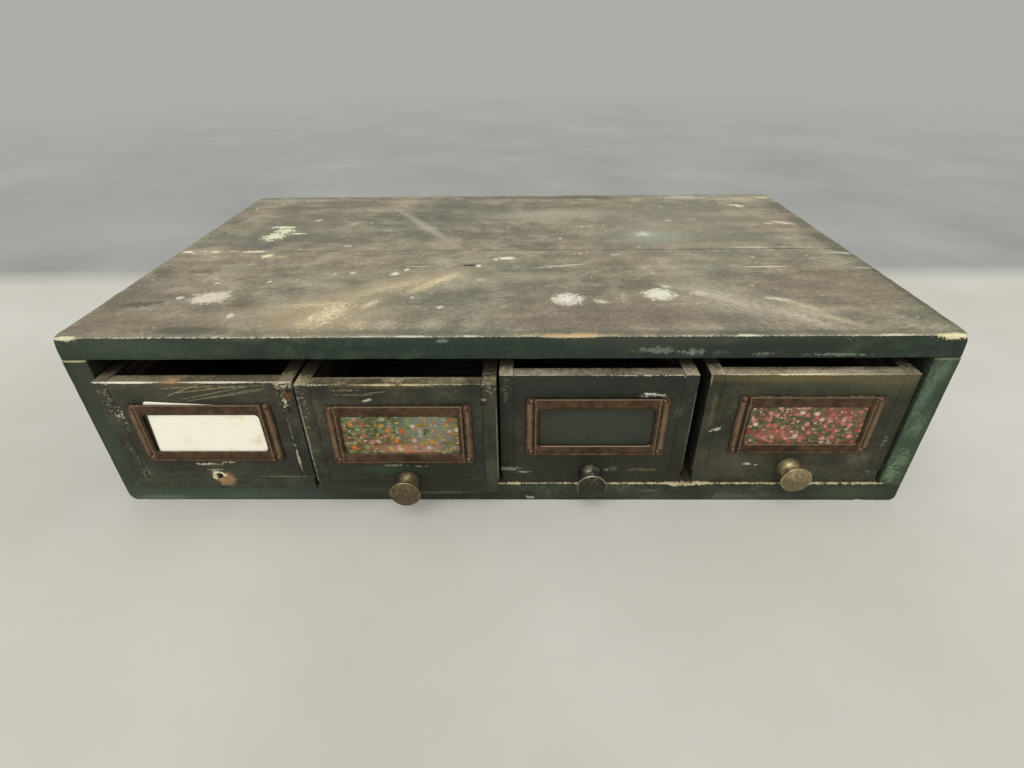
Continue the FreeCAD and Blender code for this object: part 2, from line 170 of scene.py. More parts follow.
def worn_board(node, body, material, cell, coat, scrub=None, radius=0.8, uneven=0.12,
               rubbed=(), chips=(), heads=(), fade=None, lasting=(), hole=None, ends=None):
    """A sawn board in the place of a CAD board, its arrises rubbed and its faces a little uneven."""
    low, high = [np.array(corner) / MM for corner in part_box(node)]
    # The places that need a fine mesh, each with its radius
    small = [(place, 5.0) for place in chips if place[3] < 9] + [(place, 1.9) for place in heads]
    if hole:
        small.append((hole, HOLE_MOUTH))
    lines = [mesh_lines(low[a], high[a], cell, [(p[a], r) for p, r in small]) for a in range(3)]
    points, quads = skin(lines)
    arris = np.sort(np.minimum(points - low, high - points), axis=1)[:, 1]
    seed = sum(node.encode()) % 89
    width = np.zeros(len(points))
    for start, end, more in rubbed:
        width = width + more * near_line(points, start, end, 6)
    bend = radius * (0.5 + 0.9 * spots(points, 9, seed + 1)) + 0.3 * width
    bend = np.minimum(bend, (high - low).min() * 0.4)[:, None]
    middle = np.clip(points, low + bend, high - bend)
    normal = points - middle
    normal = normal / np.linalg.norm(normal, axis=1)[:, None]
    sunk = uneven * (spots(points, 70, seed + 2) + 0.5 * spots(points, (45, 45, 12), seed + 3))
    for x, y, z, reach, depth in chips:
        share = near_line(points, (x, y, z), (x, y, z), reach)
        sunk = sunk + depth * share * (0.4 + 0.9 * spots(points, 1.6, seed + 4))
    for place in heads:
        distance = np.linalg.norm(points - place, axis=1)
        dent = NAIL_DEPTH * np.clip((NAIL_DENT - distance) / 0.7, 0, 1)
        sunk = np.where(distance < NAIL_DENT, np.maximum(sunk, dent), sunk)
    placed = middle + normal * bend - normal * sunk[:, None]
    if hole:
        distance = np.linalg.norm((points - hole)[:, (0, 2)], axis=1)
        mouth = np.clip((HOLE_MOUTH - distance) / 1.6, 0, 1) * (0.5 + 1.2 * spots(points, 1.4, seed + 5))
        depth = np.where(distance < SCREW_HOLE, HOLE_DEPTH, mouth)
        placed[:, 1] += np.where(points[:, 1] < low[1] + 0.01, depth, 0)
    # The two lower corners of the board, as seen from the front, are worn round
    if ends:
        for end, inner, reach in ((low[0], 1, ends[0]), (high[0], -1, ends[1])):
            turn = np.array([end + inner * reach, low[2] + reach])
            away = placed[:, (0, 2)] - turn
            corner = (away[:, 0] * inner < 0) & (away[:, 1] < 0)
            square = np.abs(away).max(axis=1)
            shrink = np.where(corner, square / np.maximum(np.linalg.norm(away, axis=1), 1e-9), 1)
            placed[:, (0, 2)] = turn + away * shrink[:, None]
    # How much paint each point has, by the side that it faces and by how far back it is
    facing = {"left": -normal[:, 0], "right": normal[:, 0], "front": -normal[:, 1],
              "rear": normal[:, 1], "under": -normal[:, 2], "top": normal[:, 2]}
    shares = {side: np.clip(amount, 0, 1) ** 2 for side, amount in facing.items()}
    gone = np.clip((points[:, 1] - fade[0]) / (fade[1] - fade[0]), 0, 1) if fade else 0
    left_on = {side: amount * (1 if side in lasting else 1 - gone) for side, amount in coat.items()}
    coated = sum(shares[side] * amount for side, amount in left_on.items())
    scrubbed = sum(shares[side] * amount for side, amount in (scrub or {"top": 0}).items())
    told = {"arris": arris, "rub": width, "coat": coated, "scrub": scrubbed}
    board = new_object(node + "_worn", placed, quads, material, told)
    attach(board, body)
    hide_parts(node)


def painted_wood(name, grain, paint, scrubbed, wood, undercoat, sheen, marks=(), facing="Y", scuffs=None):
    """Old oil paint on sawn softwood: mottled, streaked along the grain, scuffed, and bare at the arrises."""
    material, tree, shader, place = new_material(name)
    along = add(tree, "Mapping", {"Scale": grain}, {"Vector": place})
    slender = add(tree, "Mapping", {"Scale": [part ** 1.5 / 8 for part in grain]}, {"Vector": place})
    arris, rub, coat, scrub = [
        add(tree, "Attribute", {"attribute_name": told}).outputs["Fac"]
        for told in ("arris", "rub", "coat", "scrub")
    ]

    # Noises of real sizes in mm, each spread over the whole range from 0 to 1. The streaks are drawn out to
    # 250 mm by 25 mm and the fibres to 120 mm by 4 mm, and both have finer ones in them.
    found = {}
    for told, size, detail, coarse, low, high, where in (
            ("streaks", 1000, 6.0, 0.6, 0.3, 0.7, along), ("fibres", 120, 5.0, 0.65, 0.3, 0.7, slender),
            ("tints", 150, 3.0, 0.5, 0.4, 0.6, place), ("clouds", 85, 5.0, 0.6, 0.34, 0.66, place),
            ("blotches", 22, 6.0, 0.65, 0.34, 0.66, place),
            ("flakes", 3.6, 5.0, 0.7, 0.36, 0.64, place), ("crumbs", 1.6, 2.0, 0.6, 0.3, 0.7, place)):
        noise = add(tree, "TexNoise", {"Scale": 1000 / size, "Detail": detail, "Roughness": coarse},
                    {"Vector": where})
        found[told] = add(tree, "MapRange", {"From Min": low, "From Max": high}, {"Value": noise})
    ragged_edge = add(tree, "Math", {"operation": "MULTIPLY", 1: 0.6}, {0: found["flakes"]})
    ragged_edge = add(tree, "Math", {"operation": "MULTIPLY_ADD", 1: 0.4},
                      {0: found["crumbs"], 2: ragged_edge})
    mottle = add(tree, "Math", {"operation": "MULTIPLY", 1: 0.26}, {0: found["clouds"]})
    for told, share in (("blotches", 0.24), ("streaks", 0.38), ("flakes", 0.12)):
        mottle = add(tree, "Math", {"operation": "MULTIPLY_ADD", 1: share}, {0: found[told], 2: mottle})

    # Paint is gone from a ragged band along each arris, and from places where the coat is thin.
    reach = add(tree, "Math", {"operation": "MULTIPLY_ADD", 1: 2.6, 2: -0.5}, {0: ragged_edge})
    band = add(tree, "Math", {"operation": "MULTIPLY"}, {0: reach, 1: rub})
    left_over = add(tree, "Math", {"operation": "SUBTRACT"}, {0: arris, 1: band})
    edge = add(tree, "MapRange", {"From Min": -0.05, "From Max": -0.35}, {"Value": left_over})
    thin = add(tree, "Math", {"operation": "MULTIPLY_ADD", 1: 0.5}, {0: ragged_edge, 2: coat})
    thin = add(tree, "Math", {"operation": "MULTIPLY_ADD", 1: 0.5}, {0: mottle, 2: thin})
    covered = add(tree, "MapRange", {"From Min": 0.95, "From Max": 1.05}, {"Value": thin})
    kept = add(tree, "Math", {"operation": "SUBTRACT", 0: 1.0}, {1: edge})
    covered = add(tree, "Math", {"operation": "MULTIPLY"}, {0: covered, 1: kept})

    fresh = add(tree, "ValToRGB", {"stops": paint}, {"Fac": mottle})
    worn = add(tree, "ValToRGB", {"stops": scrubbed}, {"Fac": mottle})
    rubbing = add(tree, "Math", {"operation": "MULTIPLY_ADD", 1: 0.5}, {0: mottle, 2: scrub})
    rubbing = add(tree, "MapRange", {"From Min": 0.5, "From Max": 0.95}, {"Value": rubbing})
    top_coat = add(tree, "MixRGB", {}, {"Fac": rubbing, "Color1": fresh, "Color2": worn})
    tint = add(tree, "ValToRGB", {"stops": [(0.0, "#f8fcf4"), (1.0, "#fff9f2")]}, {"Fac": found["tints"]})
    top_coat = add(tree, "MixRGB", {"blend_type": "MULTIPLY", "Fac": 1.0},
                   {"Color1": top_coat, "Color2": tint})
    bare = add(tree, "ValToRGB", {"stops": wood}, {"Fac": found["fibres"]})
    pale = add(tree, "MixRGB", {"Color2": linear(undercoat)}, {"Fac": edge, "Color1": bare})
    pale = add(tree, "MixRGB", {"Fac": 0.3}, {"Color1": pale, "Color2": bare})
    colour = add(tree, "MixRGB", {}, {"Fac": covered, "Color1": pale, "Color2": top_coat})

    # Scuffs are patches of fine strokes, about 14 mm by 1.5 mm, among chips a few millimetres wide.
    turned = Vector((0, 1, 0) if facing == "Y" else (0, 0, 1))
    if scuffs:
        turn, strength, hue = scuffs
        scratches = add(tree, "Mapping", {
            "vector_type": "TEXTURE", "Rotation": turned * math.radians(turn),
            "Scale": (0.014, 0.0015, 0.0015)}, {"Vector": place})
        scratches = add(tree, "TexNoise", {"Scale": 1.0, "Detail": 3.0}, {"Vector": scratches})
        scratches = add(tree, "MapRange", {"From Min": 0.5, "From Max": 0.66, "To Max": strength},
                        {"Value": scratches})
        scratches = add(tree, "Math", {"operation": "MULTIPLY"}, {0: found["blotches"], 1: scratches})
        cells = add(tree, "TexVoronoi", {"voronoi_dimensions": "2D", "Scale": 1000 / 26}, {"Vector": place})
        pick = add(tree, "SeparateColor", {}, {0: cells.outputs["Color"]})
        reach = add(tree, "Math", {"operation": "MULTIPLY_ADD", 1: 0.5, 2: -0.34}, {0: pick})
        reach = add(tree, "Math", {"operation": "MULTIPLY"}, {0: reach, 1: ragged_edge})
        chips = add(tree, "Math", {"operation": "SUBTRACT"}, {0: reach, 1: cells.outputs["Distance"]})
        chips = add(tree, "MapRange", {"From Min": -0.01, "From Max": 0.01, "To Max": 0.9}, {"Value": chips})
        scratches = add(tree, "Math", {"operation": "MAXIMUM"}, {0: chips, 1: scratches})
        scratches = add(tree, "Math", {"operation": "MULTIPLY"}, {0: rubbing, 1: scratches})
        colour = add(tree, "MixRGB", {"Color2": linear(hue)}, {"Fac": scratches, "Color1": colour})

    # Each mark is a spot, stain, scratch or flake: an oval with a ragged or a soft outline. The most ragged
    # ones break up into crumbs, and a brushed one is a patch of streaks along its length. A mark's middle and
    # half size are in mm and its turn in degrees.
    for centre, half, turn, soft, ragged, strength, hue in marks:
        spin = turned * math.radians(turn)
        oval = add(tree, "Mapping", {
            "vector_type": "TEXTURE", "Location": Vector(centre) * MM, "Rotation": spin,
            "Scale": Vector(half) * 2 * MM}, {"Vector": place})
        inside = add(tree, "TexGradient", {"gradient_type": "SPHERICAL"}, {"Vector": oval}).outputs["Fac"]
        if ragged == "brushed":
            noise = add(tree, "TexNoise", {"Scale": 9.0, "Detail": 5.0, "Roughness": 0.65}, {"Vector": oval})
            noise = add(tree, "MapRange", {"From Min": 0.3, "From Max": 0.7}, {"Value": noise})
            growth, level = 1.0, 1.0 + soft / 2
        else:
            noise = mottle if soft > 0.4 else ragged_edge
            growth, level = -ragged / 2, 0.5 - ragged / 4 + 0.35 * max(ragged - 1.5, 0)
        outline = add(tree, "Math", {"operation": "MULTIPLY_ADD", 1: growth}, {0: noise, 2: inside})
        mask = add(tree, "MapRange", {
            "From Min": level - soft / 2, "From Max": level + soft / 2, "To Max": strength},
            {"Value": outline})
        colour = add(tree, "MixRGB", {"Color2": linear(hue)}, {"Fac": mask, "Color1": colour})

    grime = add(tree, "MapRange", {"To Min": 0.84, "To Max": 1.14}, {"Value": ragged_edge})
    colour = add(tree, "MixRGB", {"blend_type": "MULTIPLY", "Fac": 1.0}, {"Color1": colour, "Color2": grime})

    gloss = add(tree, "MapRange", {"To Min": 0.8, "To Max": sheen}, {"Value": covered})
    gloss = add(tree, "Math", {"operation": "MULTIPLY_ADD", 1: 0.2}, {0: mottle, 2: gloss})
    layer = add(tree, "Math", {"operation": "MULTIPLY_ADD", 1: 0.5}, {0: covered, 2: found["fibres"]})
    layer = add(tree, "Math", {"operation": "MULTIPLY_ADD", 1: 0.4}, {0: ragged_edge, 2: layer})
    bump = add(tree, "Bump", {"Strength": 0.6, "Distance": 0.00035}, {"Height": layer})
    feed(tree, shader, {"Base Color": colour, "Roughness": gloss, "Normal": bump})
    shader.inputs["Specular IOR Level"].default_value = 0.28
    return material


# Streaks run along the board and are about ten times as long as they are wide.
GRAIN_ALONG_X = (4, 40, 40)
GRAIN_ALONG_Y = (40, 4, 40)
OLD_WOOD = [(0.2, "#55493a"), (0.45, "#6b5c48"), (0.6, "#7b6b53"), (0.85, "#918067")]
CASE_GREEN = [(0.3, "#28342a"), (0.5, "#313e33"), (0.68, "#3d4a3d")]

bottom_paint = painted_wood(
    "dark green oil paint on the bottom board", GRAIN_ALONG_X,
    [(0.3, "#22261f"), (0.48, "#2d3228"), (0.62, "#3a3f33"), (0.75, "#4a5345")],
    [(0.3, "#3b362c"), (0.6, "#645b45")], OLD_WOOD, "#c8bf98", 0.5,
    [
        ((-250, -198, 8), (90, 4, 12), 0, 0.5, 0.8, 0.6, "#4a594c"),
        ((-300, -198, 3), (22, 4, 3), 0, 0.3, 1.0, 0.6, "#607063"),
        ((19, -198, 3.6), (5, 3, 1.5), 10, 0.2, 1.7, 0.8, "#a3a290"),
        # A painted shadow: the top of the bottom board in the gap between drawers 3 and 4 is nearly black
        ((149, -120, 19.5), (6, 75, 3), 0, 0.3, 0.4, 0.85, "#1d1913"),
        ((-60, -198, 9), (30, 3, 1.5), 0, 0.4, 1.4, 0.6, "#636b5e"),
        ((120, -198, 11), (8, 3, 1), 0, 0.25, 1.4, 0.45, "#6d7264"),
        ((290, -198, 9), (26, 4, 6), 0, 0.5, 0.8, 0.5, "#475540"),
    ],
)
board_y = (-150.1, -53.7, 42.7, 139.1)
worn_board(
    "bottom_board", "case", bottom_paint, 6.0,
    {"front": 1.0, "left": 0.9, "right": 0.9, "rear": 0.3, "top": 0.8, "under": 0.0},
    scrub={"top": 1.0}, fade=(-198, -90), lasting=("left", "right"), radius=0.9, ends=(7, 5),
    rubbed=[((start, -198, 19), (end, -198, 19), more) for start, end, more in (
        (-12, 8, 1.6), (4, 64, 1.0), (60, 155, 1.6), (138, 160, 4.0), (160, 225, 1.4), (250, 311, 1.7))
    ] + [
        ((-330, -198, 3), (-318, -198, 0), 0.8),
        ((-330, -190, 0), (-330, 198, 0), 0.6),
        ((330, -190, 0), (330, 198, 0), 0.7),
        ((-330, 198, 0), (-330, 198, 19), 0.8),
        ((330, 198, 0), (330, 198, 19), 0.8),
    ],
    chips=[(156, -198, 19.5, 6, 1.2), (300, -198, 0, 5, 0.8), (-90, -198, 0, 5, 0.7),
           (330, 150, 0, 6, 1.0), (-330, 40, 0, 6, 1.0), (330, -60, 19.5, 5, 0.7)],
    heads=[(side * 320.5, y, 0) for side in (-1, 1) for y in board_y],
)


# The two side boards stand on the bottom board, with end grain to the front. They have the same green paint,
# inside too, but the front edge of the right one has faded to a lighter, mottled green.
side_paint = painted_wood(
    "green oil paint on the sides", GRAIN_ALONG_Y,
    [(0.3, "#252b20"), (0.5, "#2f3529"), (0.66, "#3a4031"), (0.8, "#484e3c")],
    [(0.3, "#4f4b3b"), (0.6, "#7d7256")], OLD_WOOD, "#c8bf98", 0.5,
    [
        ((323, -202, 80), (22, 12, 90), 0, 0.3, 0.2, 0.75, "#3f4d3a"),
        ((320, -202, 128), (9, 12, 14), 10, 0.3, 1.8, 0.6, "#657861"),
        ((316, -202, 104), (6, 12, 20), 8, 0.3, 1.9, 0.6, "#607863"),
        ((325, -202, 112), (5, 12, 22), 8, 0.3, 2.0, 0.6, "#2f3d2c"),
        ((321, -202, 78), (9, 12, 14), 0, 0.3, 2.0, 0.6, "#667e64"),
        ((319, -202, 62), (7, 12, 10), 0, 0.3, 2.0, 0.5, "#34432c"),
        ((320, -202, 44), (9, 12, 14), 0, 0.3, 2.0, 0.6, "#6d8765"),
        ((317, -202, 29), (8, 12, 10), 0, 0.3, 2.0, 0.6, "#77916f"),
        ((329, -202, 84), (2.6, 12, 70), 0, 0.6, 1.2, 0.6, "#293425"),
        ((321, -202, 139.6), (10, 12, 0.9), 0, 0.2, 0.8, 0.7, "#758165"),
        ((-321, -198, 139.6), (10, 4, 1.0), 0, 0.2, 0.8, 0.9, "#aeac83"),
        ((-322, -198, 62), (7, 5, 34), 0, 0.5, 1.1, 0.5, "#414b3b"),
        ((-318, -198, 118), (8, 5, 16), 0, 0.5, 1.4, 0.4, "#474a3c"),
        # Scratches, knocks and worn places on the outer faces
        ((330, 20, 133), (3, 170, 7), 0, 0.6, 1.2, 0.5, "#22281f"),
        ((330, -150, 70), (3, 34, 44), 0, 0.7, 1.4, 0.5, "#43503f"),
        ((330, 150, 40), (3, 40, 16), 0, 0.5, "brushed", 0.6, "#555a46"),
        ((330, -60, 25), (3, 100, 5), 0, 0.4, "brushed", 0.7, "#666b54"),
        ((330, 191, 80), (3, 6, 56), 0, 0.4, 2.0, 0.7, "#6f6a52"),
        ((330, -96, 98), (3, 30, 1.0), 0, 0.2, 1.8, 0.8, "#858a72"),
        ((330, 34, 62), (3, 46, 0.8), 0, 0.2, 1.9, 0.7, "#7c8069"),
        ((330, 96, 108), (3, 3, 4), 0, 0.15, 1.6, 0.9, "#b3aa8e"),
        ((330, -18, 88), (3, 5, 2), 0, 0.15, 1.8, 0.9, "#a59c80"),
        ((330, 70, 84), (3, 26, 20), 0, 0.5, "brushed", 0.4, "#4c5340"),
        ((-330, 0, 133), (3, 180, 7), 0, 0.6, 1.2, 0.5, "#22281f"),
        ((-330, -130, 48), (3, 46, 18), 0, 0.5, "brushed", 0.6, "#525845"),
        ((-330, 70, 26), (3, 110, 6), 0, 0.4, "brushed", 0.7, "#646952"),
        ((-330, 190, 60), (3, 7, 44), 0, 0.4, 2.0, 0.7, "#6f6a52"),
        ((-330, 60, 100), (3, 40, 0.9), 0, 0.2, 1.8, 0.8, "#82876f"),
        ((-330, -60, 76), (3, 24, 1.0), 0, 0.2, 1.9, 0.7, "#7c8069"),
        ((-330, 110, 70), (3, 4, 3), 0, 0.15, 1.6, 0.9, "#b3aa8e"),
        ((-330, -160, 104), (3, 3, 5), 0, 0.15, 1.8, 0.9, "#a59c80"),
        ((-330, -10, 60), (3, 34, 24), 0, 0.5, "brushed", 0.4, "#4a513f"),
    ],
)
for node, outer, side in (("left_side", "left", -1), ("right_side", "right", 1)):
    inner = "right" if side < 0 else "left"
    worn_board(
        node, "case", side_paint, 6.0,
        {"front": 1.0, outer: 0.85, inner: 1.0, "top": 1.0, "under": 1.0, "rear": 0.4}, radius=0.7,
        rubbed=[((side * 330, -198, 137), (side * 330, -198, 100), 0.5),
                ((side * 330, -198, 60), (side * 330, -198, 30), 0.3),
                ((side * 330, 198, 140), (side * 330, 198, 20), 0.9)],
        chips=[(side * 330, 198, 52 if side > 0 else 96, 6, 1.0), (side * 330, 198, 128, 5, 0.8)],
        heads=[(side * 330, 192.7, z) for z in (39.6, 79.8, 119.9)],
    )


# The back panel is thin unpainted softwood, nailed between the sides.
# It has only darkened and stained with age, with long grain across the cabinet.
bare_softwood = painted_wood(
    "bare aged softwood", GRAIN_ALONG_X, CASE_GREEN, CASE_GREEN,
    [(0.15, "#544736"), (0.45, "#6c5c46"), (0.6, "#7a6a51"), (0.85, "#8f7e60")], "#8d7d62", 0.9,
    [((-150, 198, 60), (90, 5, 30), 4, 0.6, 1.0, 0.4, "#40372b"),
     ((120, 198, 95), (70, 5, 22), -6, 0.6, 1.0, 0.35, "#a3916f")],
)
worn_board("back_panel", "case", bare_softwood, 8.0, {"front": 0.0}, radius=0.4)


# The top is two planks side by side, nailed down on the sides with a hairline seam between them. Its paint
# is scrubbed to a grey brown film with flakes, stains and scratches, and is still green at the front edge.
TOP = 159.3
MARK_DEPTH = 9
TOP_MARKS = [
    ((x, y, TOP), (along, across, MARK_DEPTH), *look) for x, y, along, across, *look in (
        # Broad stains and worn areas, from the back to the front
        (-77, 103, 46, 46, 8, 0.8, 0.9, 0.75, "#6b6b5d"), (-222, 82, 46, 76, 12, 0.8, 0.9, 0.5, "#6f6a5f"),
        (-57, 88, 56, 10, 0, 0.6, 1.0, 0.4, "#6f6c5f"), (150, 36, 62, 62, 0, 0.9, 0.9, 0.35, "#aca48f"),
        (-20, 140, 60, 24, 0, 0.7, 0.9, 0.35, "#6a6d5f"), (45, 110, 60, 16, 6, 0.6, 1.1, 0.75, "#b8b19d"),
        (215, 90, 60, 60, 0, 0.9, 0.9, 0.3, "#a9a18d"), (262, 18, 24, 16, 0, 0.7, 0.9, 0.45, "#737a69"),
        (173, -51, 22, 13, 0, 0.7, 0.9, 0.4, "#737a69"), (285, -110, 45, 35, -30, 0.8, 0.9, 0.45, "#7f6e5c"),
        (-300, -115, 30, 40, -20, 0.8, 0.9, 0.4, "#736a5e"),
        (-285, -175, 45, 18, 0, 0.7, 0.9, 0.5, "#7d6e5b"), (-165, -155, 48, 26, 20, 0.7, 0.9, 0.5, "#ae9d7f"),
        (-115, -165, 30, 22, 0, 0.7, 1.0, 0.5, "#aba085"),
        (192, -140, 46, 20, -38, 0.8, 1.1, 0.45, "#b3aa95"),
        (182, -142, 40, 14, -56, 0.5, "brushed", 0.85, "#cdc3ac"),
        (206, -158, 36, 18, -36, 0.5, "brushed", 0.7, "#c2b8a0"),
        (60, -165, 120, 16, 0, 0.7, 0.8, 0.45, "#807364"), (98, -160, 60, 34, 0, 0.8, 0.9, 0.5, "#756a5c"),
        (240, -106, 46, 16, 0, 0.8, 0.9, 0.4, "#766c5e"), (8, -116, 40, 16, 0, 0.8, 0.9, 0.3, "#7b6f62"),
        (6, -87, 42, 9, 4, 0.6, 1.1, 0.5, "#b3a991"), (-233, -187, 36, 6, 0, 0.5, 0.9, 0.7, "#4f5647"),
        (-60, -192, 150, 5, 0, 0.5, 1.0, 0.55, "#5d6452"), (200, -193, 110, 4, 0, 0.5, 1.0, 0.55, "#5d6452"),
        (322, 40, 8, 160, 0, 0.6, 0.8, 0.5, "#606653"), (318, -153, 15, 14, -30, 0.6, 1.0, 0.4, "#555c47"),
        (327, -110, 3.5, 85, 0, 0.5, 1.0, 0.5, "#4d5343"), (60, 190, 90, 9, 0, 0.5, 1.0, 0.6, "#636a57"),
        (222, 183, 32, 11, 0, 0.4, "brushed", 0.85, "#d3cab5"),
        (278, 174, 34, 9, 0, 0.4, "brushed", 0.8, "#cfc5aa"),
        (318, 180, 10, 6, 0, 0.25, 1.6, 0.85, "#d7cfac"),
        (-132, 174, 30, 11, 0, 0.5, "brushed", 0.7, "#c0b4a1"),
        (-296, 184, 28, 8, 0, 0.4, 1.8, 0.6, "#afaa91"), (-302, 104, 5, 30, -15, 0.3, 1.8, 0.6, "#b7af9a"),
        # Streaks where boxes were dragged
        (-126, 145, 12, 30, 20, 0.6, "brushed", 0.5, "#b3aa96"),
        (-94, 65, 5, 66, 32, 0.4, 1.2, 0.65, "#bdb3a0"), (-87, 60, 7, 6, 0, 0.3, 1.7, 0.7, "#bcb3a0"),
        (-70, 15, 9, 26, 20, 0.4, 1.9, 0.5, "#aea590"), (-143, -162, 27, 22, 20, 0.8, 1.1, 0.75, "#c2ae89"),
        (-154, -142, 24, 6, 6, 0.4, "brushed", 0.9, "#ddcca4"),
        (-138, -159, 24, 13, 68, 0.4, "brushed", 0.95, "#f0dfb6"),
        (-150, -172, 15, 10, 50, 0.4, "brushed", 0.75, "#d9c8a0"),
        (-87, -99, 54, 13, 30, 0.8, 1.0, 0.75, "#bfad8b"),
        (-100, -106, 38, 9, 31, 0.5, "brushed", 0.85, "#d6c6a2"),
        (-110, -141, 10, 5, 55, 0.35, "brushed", 0.95, "#e8d7ae"),
        (-59, -91, 24, 7, 46, 0.4, "brushed", 0.95, "#ecdbb3"),
        (-74, -109, 18, 7, 46, 0.4, "brushed", 0.85, "#dccba3"),
        (-135, -122, 36, 8, 15, 0.6, "brushed", 0.5, "#b9ac92"),
        (-111, -178, 10, 9, 90, 0.4, "brushed", 0.8, "#d8c49e"),
        (-90, -178, 9, 13, 90, 0.4, "brushed", 0.75, "#cec1a5"),
        (-56, -178, 11, 12, 90, 0.4, "brushed", 0.65, "#c6bca3"),
        (-20, -162, 20, 26, 90, 0.5, "brushed", 0.5, "#b0a894"),
        (-205, -165, 14, 22, 60, 0.5, "brushed", 0.5, "#b3a78e"),
        (-149, -103, 7, 10, 20, 0.5, 1.4, 0.6, "#b5a58a"), (-180, -38, 5, 26, -24, 0.35, 1.5, 0.4, "#b0a895"),
        (-84, -58, 11, 0.9, 0, 0.15, 1.0, 0.85, "#d7cdb5"), (50, -58, 22, 1.5, 12, 0.12, 1.4, 0.9, "#d7d0bc"),
        (240, -10, 19, 1.2, 0, 0.12, 1.5, 0.9, "#dad4bd"), (272, -9, 5, 1.0, 0, 0.12, 1.2, 0.85, "#d5ceb8"),
        (234, -63, 22, 1.4, 0, 0.12, 1.3, 0.95, "#e0dac4"), (225, -15, 60, 1.1, 0, 0.2, 1.6, 0.5, "#514d43"),
        (218, -135, 9, 3, -20, 0.15, 1.5, 0.9, "#ded8c2"),
        (168, -128, 30, 7, -40, 0.4, "brushed", 0.7, "#cfc6ae"),
        (222, -168, 26, 8, -48, 0.4, "brushed", 0.75, "#cfc6ac"),
        (230, -145, 24, 5, -42, 0.4, "brushed", 0.8, "#d5caa5"),
        (247, -171, 22, 6, -38, 0.4, "brushed", 0.75, "#d3c9a5"),
        # Flakes, drops and knocks
        (-258, 8, 24, 16, 0, 0.6, 0.9, 0.45, "#615f60"), (-251, 34, 12, 16, -15, 0.12, 1.8, 0.97, "#f5f7d0"),
        (-247, 52, 12, 12, -20, 0.12, 1.9, 0.97, "#f2f4cd"), (-253, 66, 14, 4, 0, 0.1, 1.6, 0.97, "#f4f6cf"),
        (-230, 43, 10, 2.4, 0, 0.1, 1.6, 0.97, "#eef1cd"),
        (-321, -14.5, 6, 2.8, 0, 0.15, 1.0, 0.95, "#f7f1cf"),
        (-294, -14.5, 6, 2.6, 0, 0.15, 1.2, 0.95, "#f1e9c9"),
        (-254, -14.5, 12, 2.6, 0, 0.15, 1.4, 0.95, "#f1e9c9"),
        (-236, -27, 5, 5, -20, 0.12, 1.5, 0.97, "#f7f4c0"),
        (-221, -30, 6, 3.4, 0, 0.15, 1.8, 0.85, "#c0c481"), (-260, -54, 13, 8, 24, 0.2, 2.6, 0.75, "#a9b38f"),
        (-243, -50, 5, 4, 24, 0.2, 2.0, 0.8, "#c0c4a2"),
        (-246, -127, 14.5, 11.5, 25, 0.12, 1.0, 0.97, "#e8ddc5"),
        (-216, -135, 7, 14, 10, 0.4, 1.4, 0.5, "#63584a"), (-271, -127, 3, 3, 0, 0.2, 1.0, 0.95, "#e5e0cd"),
        (-260, -121, 4, 2, 0, 0.2, 1.4, 0.8, "#d0c6ab"), (-214, -162, 2.5, 3.5, 0, 0.2, 1.2, 0.95, "#eae5d0"),
        (-150, -167, 1.8, 2.6, 0, 0.2, 1.0, 0.95, "#f7eacb"), (-280, -75, 6, 2, 0, 0.2, 1.6, 0.6, "#cbc4ab"),
        (-295, -139, 15, 5, 8, 0.35, 0.9, 0.7, "#5a5248"), (-317, -67, 8, 12, 12, 0.4, 0.9, 0.6, "#5a5248"),
        (-281, -69, 12, 4, 0, 0.35, 1.4, 0.45, "#635a4e"), (-177, 77, 5, 7, 0, 0.15, 1.8, 0.8, "#c0b9a4"),
        (-223, 92, 3, 4, 0, 0.2, 1.6, 0.7, "#c0b9a4"), (-209, -93, 2.4, 2, 0, 0.2, 1.0, 0.9, "#dcd5bf"),
        (-254, -96, 2.8, 1.8, 0, 0.2, 1.0, 0.9, "#dcd5bf"),
        (-102, -76, 4.2, 3.6, 20, 0.12, 1.6, 0.97, "#f6f1de"),
        (-93, -66, 2.4, 3.2, 0, 0.15, 1.6, 0.95, "#f0ebd8"),
        (-141, -73, 3.2, 3.6, 20, 0.15, 1.8, 0.9, "#e6e0cb"),
        (-2, -37, 7, 3.6, 8, 0.12, 1.4, 0.97, "#f7f1db"), (-12, -40, 4, 3, 20, 0.12, 2.0, 0.97, "#e8e2cb"),
        (-16, -4, 7, 7, 0, 0.2, 2.2, 0.7, "#c5bea8"), (-36, -56, 8, 2.4, 0, 0.2, 0.8, 0.9, "#423931"),
        (-28, -57, 2.4, 3.2, 0, 0.2, 0.9, 0.95, "#f1ebdb"), (-24, -91, 5.5, 3.4, 0, 0.2, 1.8, 0.8, "#cdc6b0"),
        (49, -134, 13, 12, -10, 0.12, 1.0, 0.9, "#cdc4ad"), (49, -133, 14, 13, 0, 0.12, 2.1, 0.97, "#f7f2e0"),
        (75, -138, 7, 4, -30, 0.15, 1.9, 0.9, "#e0d8c1"), (94, -132, 8, 14, 0, 0.2, 2.4, 0.75, "#cbc2aa"),
        (125, -125, 12.5, 12, 10, 0.12, 1.0, 0.95, "#e1d8bc"),
        (125, -124, 13, 12, 10, 0.12, 2.0, 0.97, "#f7f5de"), (134, -108, 5, 6, 30, 0.12, 2.0, 0.9, "#e1d8bd"),
        (158, -123, 8, 5, 10, 0.15, 1.8, 0.9, "#dad1ba"), (68, -24, 7, 4, 0, 0.15, 2.2, 0.8, "#d0c9b3"),
        (102, -29, 5, 2.6, 0, 0.15, 1.8, 0.8, "#d0c9b3"), (152, 26, 26, 22, 0, 0.5, 1.4, 0.5, "#acb29c"),
        (142, 34, 14, 11, 0, 0.35, 1.9, 0.8, "#b8c3aa"), (141, 34, 8, 6, 0, 0.25, 1.8, 0.9, "#dbe2cc"),
